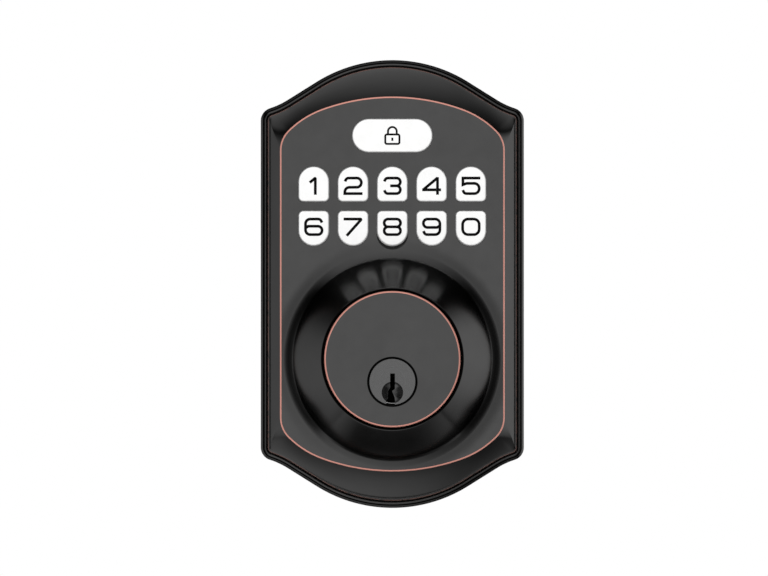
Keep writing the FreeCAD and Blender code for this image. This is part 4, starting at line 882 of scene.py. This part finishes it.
NODE_MATERIALS = {
    "plug": plug_satin(),
    "keypad_membrane": solid("silicone", (0.62, 0.62, 0.6), 0.04, 300, (0.5, 0.65), 4000, 0.004),
    "circuit_board": board_laminate(),
    "backlight_leds": solid("led_lens", (0.85, 0.83, 0.66), 0.05, 900, (0.2, 0.3), 5000, 0.002),
    "buzzer": solid("buzzer_plastic", (0.018, 0.018, 0.019), 0.2, 400, (0.35, 0.5), 5000, 0.004),
    "controller_chip": solid("chip_epoxy", (0.022, 0.022, 0.024), 0.2, 600, (0.45, 0.6), 9000, 0.004),
    "cable_socket": solid("socket_nylon", (0.72, 0.7, 0.62), 0.05, 500, (0.4, 0.55), 5000, 0.004),
    "board_cover": solid("cover_plastic", (0.02, 0.02, 0.021), 0.15, 200, (0.45, 0.6), 2600, 0.012),
    "anti_drill_plate": turned("hardened_steel", (0.36, 0.36, 0.37), 0.06, (0.28, 0.38), 0.0, 6000,
                               0.002, Metallic=1.0),
    # The cylinder body and the tailpiece are painted black where they show through the keyway, as its
    # shade.
    "cylinder_body": painted_shade_in_front("turned_brass", (0.62, 0.45, 0.2), (60, 3500, 60), *BODY_PAINTED_SHADE),
    "pin_chamber_cover": brushed("brushed_brass", (0.62, 0.45, 0.2), 0.06, (0.3, 0.4), (60, 60, 6000),
                                 0.003, Metallic=1.0),
    # The key pins are brass painted near black all over: painted shade where their tips show in the
    # keyway.
    "key_pins": solid("painted_shade_brass", (0.02, 0.017, 0.01), 0.3, 900, (0.5, 0.65), 6000, 0.003,
                      Specular_IOR_Level=0.1),
    "driver_pins": solid("driver_brass", (0.6, 0.44, 0.2), 0.05, 600, (0.26, 0.36), 6000, 0.002,
                         Metallic=1.0),
    "cylinder_retainer": solid("cast_zinc", (0.38, 0.38, 0.385), 0.08, 300, (0.4, 0.52), 2500, 0.012,
                               Metallic=1.0),
    "back_plate": brushed("zinc_plate", (0.55, 0.56, 0.58), 0.07, (0.26, 0.4), (3500, 60, 120), 0.003,
                          Metallic=1.0),
    "tailpiece": painted_shade_in_front("rolled_steel", (0.5, 0.5, 0.5), (1500, 60, 3000), *TAIL_PAINTED_SHADE),
    "door_gasket": foam(),
    "cable_grommet": solid("grommet_rubber", (0.02, 0.02, 0.02), 0.2, 300, (0.6, 0.8), 3500, 0.01),
    "mounting_posts": solid("post_steel", (0.52, 0.52, 0.53), 0.06, 500, (0.28, 0.4), 3500, 0.004,
                            Metallic=1.0),
}
screw_steel = solid("screw_steel", (0.55, 0.55, 0.56), 0.06, 700, (0.22, 0.34), 4000, 0.003,
                    Metallic=1.0)
spring_steel = solid("spring_steel", (0.45, 0.45, 0.46), 0.06, 900, (0.24, 0.34), 5000, 0.002,
                     Metallic=1.0)
white_key = key_plastic()
for node in ("board_screws", "retainer_screws", "back_plate_screws"):
    NODE_MATERIALS[node] = screw_steel
for node in ("switch_domes", "pin_springs", "tailpiece_clip", "tailpiece_pin"):
    NODE_MATERIALS[node] = spring_steel
for node in KEY_NODES:
    NODE_MATERIALS[node] = white_key
for node, material in NODE_MATERIALS.items():
    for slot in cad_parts[node].material_slots:
        slot.material = material

castings = [bronze, edge_copper, lip_copper, painted_shade_black]
casting = escutcheon(castings)
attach(casting, "lock_case")
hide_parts("escutcheon")
face = cylinder_cap(castings)
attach(face, "lock_case")
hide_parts("cylinder_cap")
legends(ink)


# ---------------------------------------------------------------- studio

CENTRE = Vector((0, 0, MIDDLE * MM))
CARD_REACH = 0.6                            # the cards' distance from the object's axis, in metres
CARD_FRONT, CARD_BACK = -4.5, 2.6           # the cards' ends, as y in metres


def stage_piece(name, corners, faces, material):
    """A piece of the studio, from its corners in metres."""
    mesh = bpy.data.meshes.new(name)
    mesh.from_pydata(corners, [], faces)
    mesh.materials.append(material)
    made = placed(name, mesh)
    made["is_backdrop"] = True
    return made


def card_material(name, axis, depth_stops, side_stops):
    """Glow that changes along the card's depth and along its width: (metres, strength) stops."""
    material = bpy.data.materials.new(name)
    material.use_nodes = True
    tree = material.node_tree
    tree.nodes.clear()
    coords = tree.nodes.new("ShaderNodeTexCoord")
    split = tree.nodes.new("ShaderNodeSeparateXYZ")
    tree.links.new(coords.outputs["Object"], split.inputs["Vector"])
    peak = max(strength for _, strength in depth_stops)
    ramps = []
    for output, low, high, stops, brightest in (
            ("Y", CARD_FRONT, CARD_BACK, depth_stops, peak),
            (axis, -CARD_REACH, CARD_REACH, side_stops, 1.0)):
        place = tree.nodes.new("ShaderNodeMapRange")
        place.inputs["From Min"].default_value, place.inputs["From Max"].default_value = low, high
        ramp = tree.nodes.new("ShaderNodeValToRGB")
        tree.links.new(split.outputs[output], place.inputs["Value"])
        tree.links.new(place.outputs["Result"], ramp.inputs["Fac"])
        while len(ramp.color_ramp.elements) < len(stops):
            ramp.color_ramp.elements.new(0.5)
        for element, (metres, strength) in zip(ramp.color_ramp.elements, stops):
            element.position = (metres - low) / (high - low)
            element.color = (*[strength / brightest] * 3, 1)
        ramps.append(ramp)
    blend = tree.nodes.new("ShaderNodeMixRGB")
    blend.blend_type = "MULTIPLY"
    blend.inputs["Fac"].default_value = 1.0
    glow = tree.nodes.new("ShaderNodeEmission")
    glow.inputs["Strength"].default_value = peak
    output = tree.nodes.new("ShaderNodeOutputMaterial")
    tree.links.new(ramps[0].outputs["Color"], blend.inputs["Color1"])
    tree.links.new(ramps[1].outputs["Color"], blend.inputs["Color2"])
    tree.links.new(blend.outputs["Color"], glow.inputs["Color"])
    tree.links.new(glow.outputs["Emission"], output.inputs["Surface"])
    material.cycles.emission_sampling = "NONE"
    return material


WORLD_LIGHT, WORLD_WHITE = 0.68, 1.0        # on matt surfaces, and behind the object
# Each softbox: its place and size in metres, and its power in watts.
LAMPS = {
    "key_light": ((-1.1, -1.7, 1.3), 1.2, 20.0),
    "fill_light": ((1.6, -1.2, 0.3), 1.0, 4.0),
    "rear_light": ((0.8, 1.8, 1.2), 1.2, 12.0),
}
# Strength along a card's depth (y in metres) and a share of it across the card's width (x or z).
CARDS = {
    "card_upper": (
        [(-4.5, 1.0), (-1.9, 0.9), (-1.0, 0.8), (-0.4, 0.7), (-0.1, 0.6), (0.15, 0.44), (0.45, 0.25),
         (1.0, 0.09), (2.6, 0.03)],
        [(-0.6, 0.15), (-0.5, 0.35), (-0.35, 0.9), (0.0, 1.0), (0.2, 0.85), (0.35, 0.55), (0.5, 0.2),
         (0.6, 0.1)]),
    "card_lower": (
        [(-4.5, 1.0), (-1.9, 0.8), (-0.7, 0.66), (-0.2, 0.62), (0.1, 0.53), (0.4, 0.42), (0.8, 0.28),
         (2.6, 0.08)],
        [(-0.6, 0.8), (-0.35, 1.0), (-0.1, 1.0), (0.05, 0.9), (0.2, 0.6), (0.35, 0.35), (0.6, 0.3)]),
    "card_left": (
        [(-4.5, 0.95), (-3.0, 0.75), (-1.9, 0.5), (-0.9, 0.15), (-0.4, 0.07), (0.0, 0.12), (0.25, 0.7),
         (1.1, 0.75), (2.6, 0.8)],
        [(-0.6, 0.6), (-0.5, 0.8), (-0.22, 1.0), (0.0, 0.97), (0.15, 0.8), (0.35, 0.25), (0.5, 0.08),
         (0.6, 0.06)]),
    "card_right": (
        [(-4.5, 0.9), (-3.0, 0.6), (-1.9, 0.3), (-0.9, 0.07), (-0.3, 0.05), (0.03, 0.1), (0.25, 1.15),
         (0.8, 1.2), (2.6, 1.8)],
        [(-0.6, 0.35), (-0.4, 0.55), (-0.22, 0.85), (0.0, 1.0), (0.22, 0.97), (0.35, 0.75), (0.45, 0.4),
         (0.6, 0.08)]),
}


def glossy_only(card):
    """Only reflections see the card."""
    card.visible_camera = card.visible_diffuse = card.visible_shadow = False
    card.visible_transmission = False


def reflector_cards():
    """Graded cards on four sides, as round a metal object in a studio."""
    reach = CARD_REACH
    corners = {
        "card_upper": ("X", (-reach, reach), (reach, reach)),
        "card_lower": ("X", (-reach, -reach), (reach, -reach)),
        "card_left": ("Z", (-reach, -reach), (-reach, reach)),
        "card_right": ("Z", (reach, -reach), (reach, reach)),
    }
    for name, (axis, (x0, z0), (x1, z1)) in corners.items():
        ends = [(x0, CARD_FRONT, z0), (x1, CARD_FRONT, z1), (x1, CARD_BACK, z1), (x0, CARD_BACK, z0)]
        glossy_only(stage_piece(name, ends, [range(4)], card_material(name, axis, *CARDS[name])))


def dome_flag():
    """Dark flag curved round the lower side of the dome, as a black card held close to it."""
    radius, front, back = 41.5, 22.5, 12.0
    start, end, count, strength = 138, 222, 43, 0.55
    arc = sweep((0, DOME_RISE), radius, start, end, count)
    corners = [(x * MM, -height * MM, z * MM) for height in (front, back) for x, z in arc]
    faces = [(i, i + 1, count + i + 1, count + i) for i in range(count - 1)]
    even = [(CARD_FRONT, strength), (CARD_BACK, strength)]
    across = [(-0.0278, 1.0), (-0.0225, 0.4), (-0.018, 0.08), (0.008, 0.08), (0.0145, 0.17),
              (0.0207, 0.35), (0.0278, 0.8)]
    glossy_only(stage_piece("dome_flag", corners, faces, card_material("dome_flag", "X", even, across)))


def studio_floor():
    """Pale floor below the object."""
    paint = Paint("studio_floor", Specular_IOR_Level=0.0)
    paint.colour(paint.ramp(paint.noise(3, detail=3), (0.3, 0.83), (0.7, 0.86)))
    paint.rough(paint.between(paint.noise(40), 0.6, 0.75))
    reach, low = 3.0, -0.15
    corners = [(-reach, -reach, low), (reach, -reach, low), (reach, reach, low), (-reach, reach, low)]
    floor = stage_piece("studio_floor", corners, [range(4)], paint.material)
    floor.visible_glossy = False


def world_light():
    """White behind the object, and the same white in metal and glass; softer light on matt surfaces."""
    world = bpy.data.worlds.new("studio")
    bpy.context.scene.world = world
    world.use_nodes = True
    tree = world.node_tree
    tree.nodes.clear()
    path = tree.nodes.new("ShaderNodeLightPath")
    shown = path.outputs["Is Camera Ray"]
    for ray in ("Is Glossy Ray", "Is Transmission Ray"):
        either = tree.nodes.new("ShaderNodeMath")
        either.operation = "MAXIMUM"
        tree.links.new(shown, either.inputs[0])
        tree.links.new(path.outputs[ray], either.inputs[1])
        shown = either.outputs["Value"]
    mix = tree.nodes.new("ShaderNodeMixShader")
    tree.links.new(shown, mix.inputs["Fac"])
    for target, strength in zip(mix.inputs[1:], (WORLD_LIGHT, WORLD_WHITE)):
        background = tree.nodes.new("ShaderNodeBackground")
        background.inputs["Color"].default_value = (1, 1, 1, 1)
        background.inputs["Strength"].default_value = strength
        tree.links.new(background.outputs["Background"], target)
    output = tree.nodes.new("ShaderNodeOutputWorld")
    tree.links.new(mix.outputs["Shader"], output.inputs["Surface"])
    world.cycles.sampling_method = "NONE"


def lamp(name, place, size, power):
    """A square softbox aimed at the object, which reflections don't show."""
    data = bpy.data.lights.new(name, "AREA")
    data.size, data.energy = size, power
    made = placed(name, data)
    made.location = place
    made.rotation_euler = (CENTRE - Vector(place)).to_track_quat("-Z", "Y").to_euler()
    made.visible_glossy = False


def camera():
    """Square on to the panel, far enough back that its sides hardly show."""
    side, rise, distance, frame_wide = -0.0023, 0.0258, 6.5, 0.2122
    data = bpy.data.cameras.new("camera")
    data.sensor_width = 36.0
    data.lens = data.sensor_width * distance / frame_wide
    data.clip_start, data.clip_end = 1.0, 60.0
    made = placed("camera", data)
    made.location = (side, -distance, rise)
    made.rotation_euler = (math.radians(90), 0, 0)
    bpy.context.scene.camera = made


reflector_cards()
dome_flag()
studio_floor()
world_light()
for name, settings in LAMPS.items():
    lamp(name, *settings)
camera()
bpy.context.scene.view_settings.view_transform = "Standard"

boxes = {"cad": cad_box, "visual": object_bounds()}
{name: [list(corner) for corner in box] for name, box in boxes.items()}
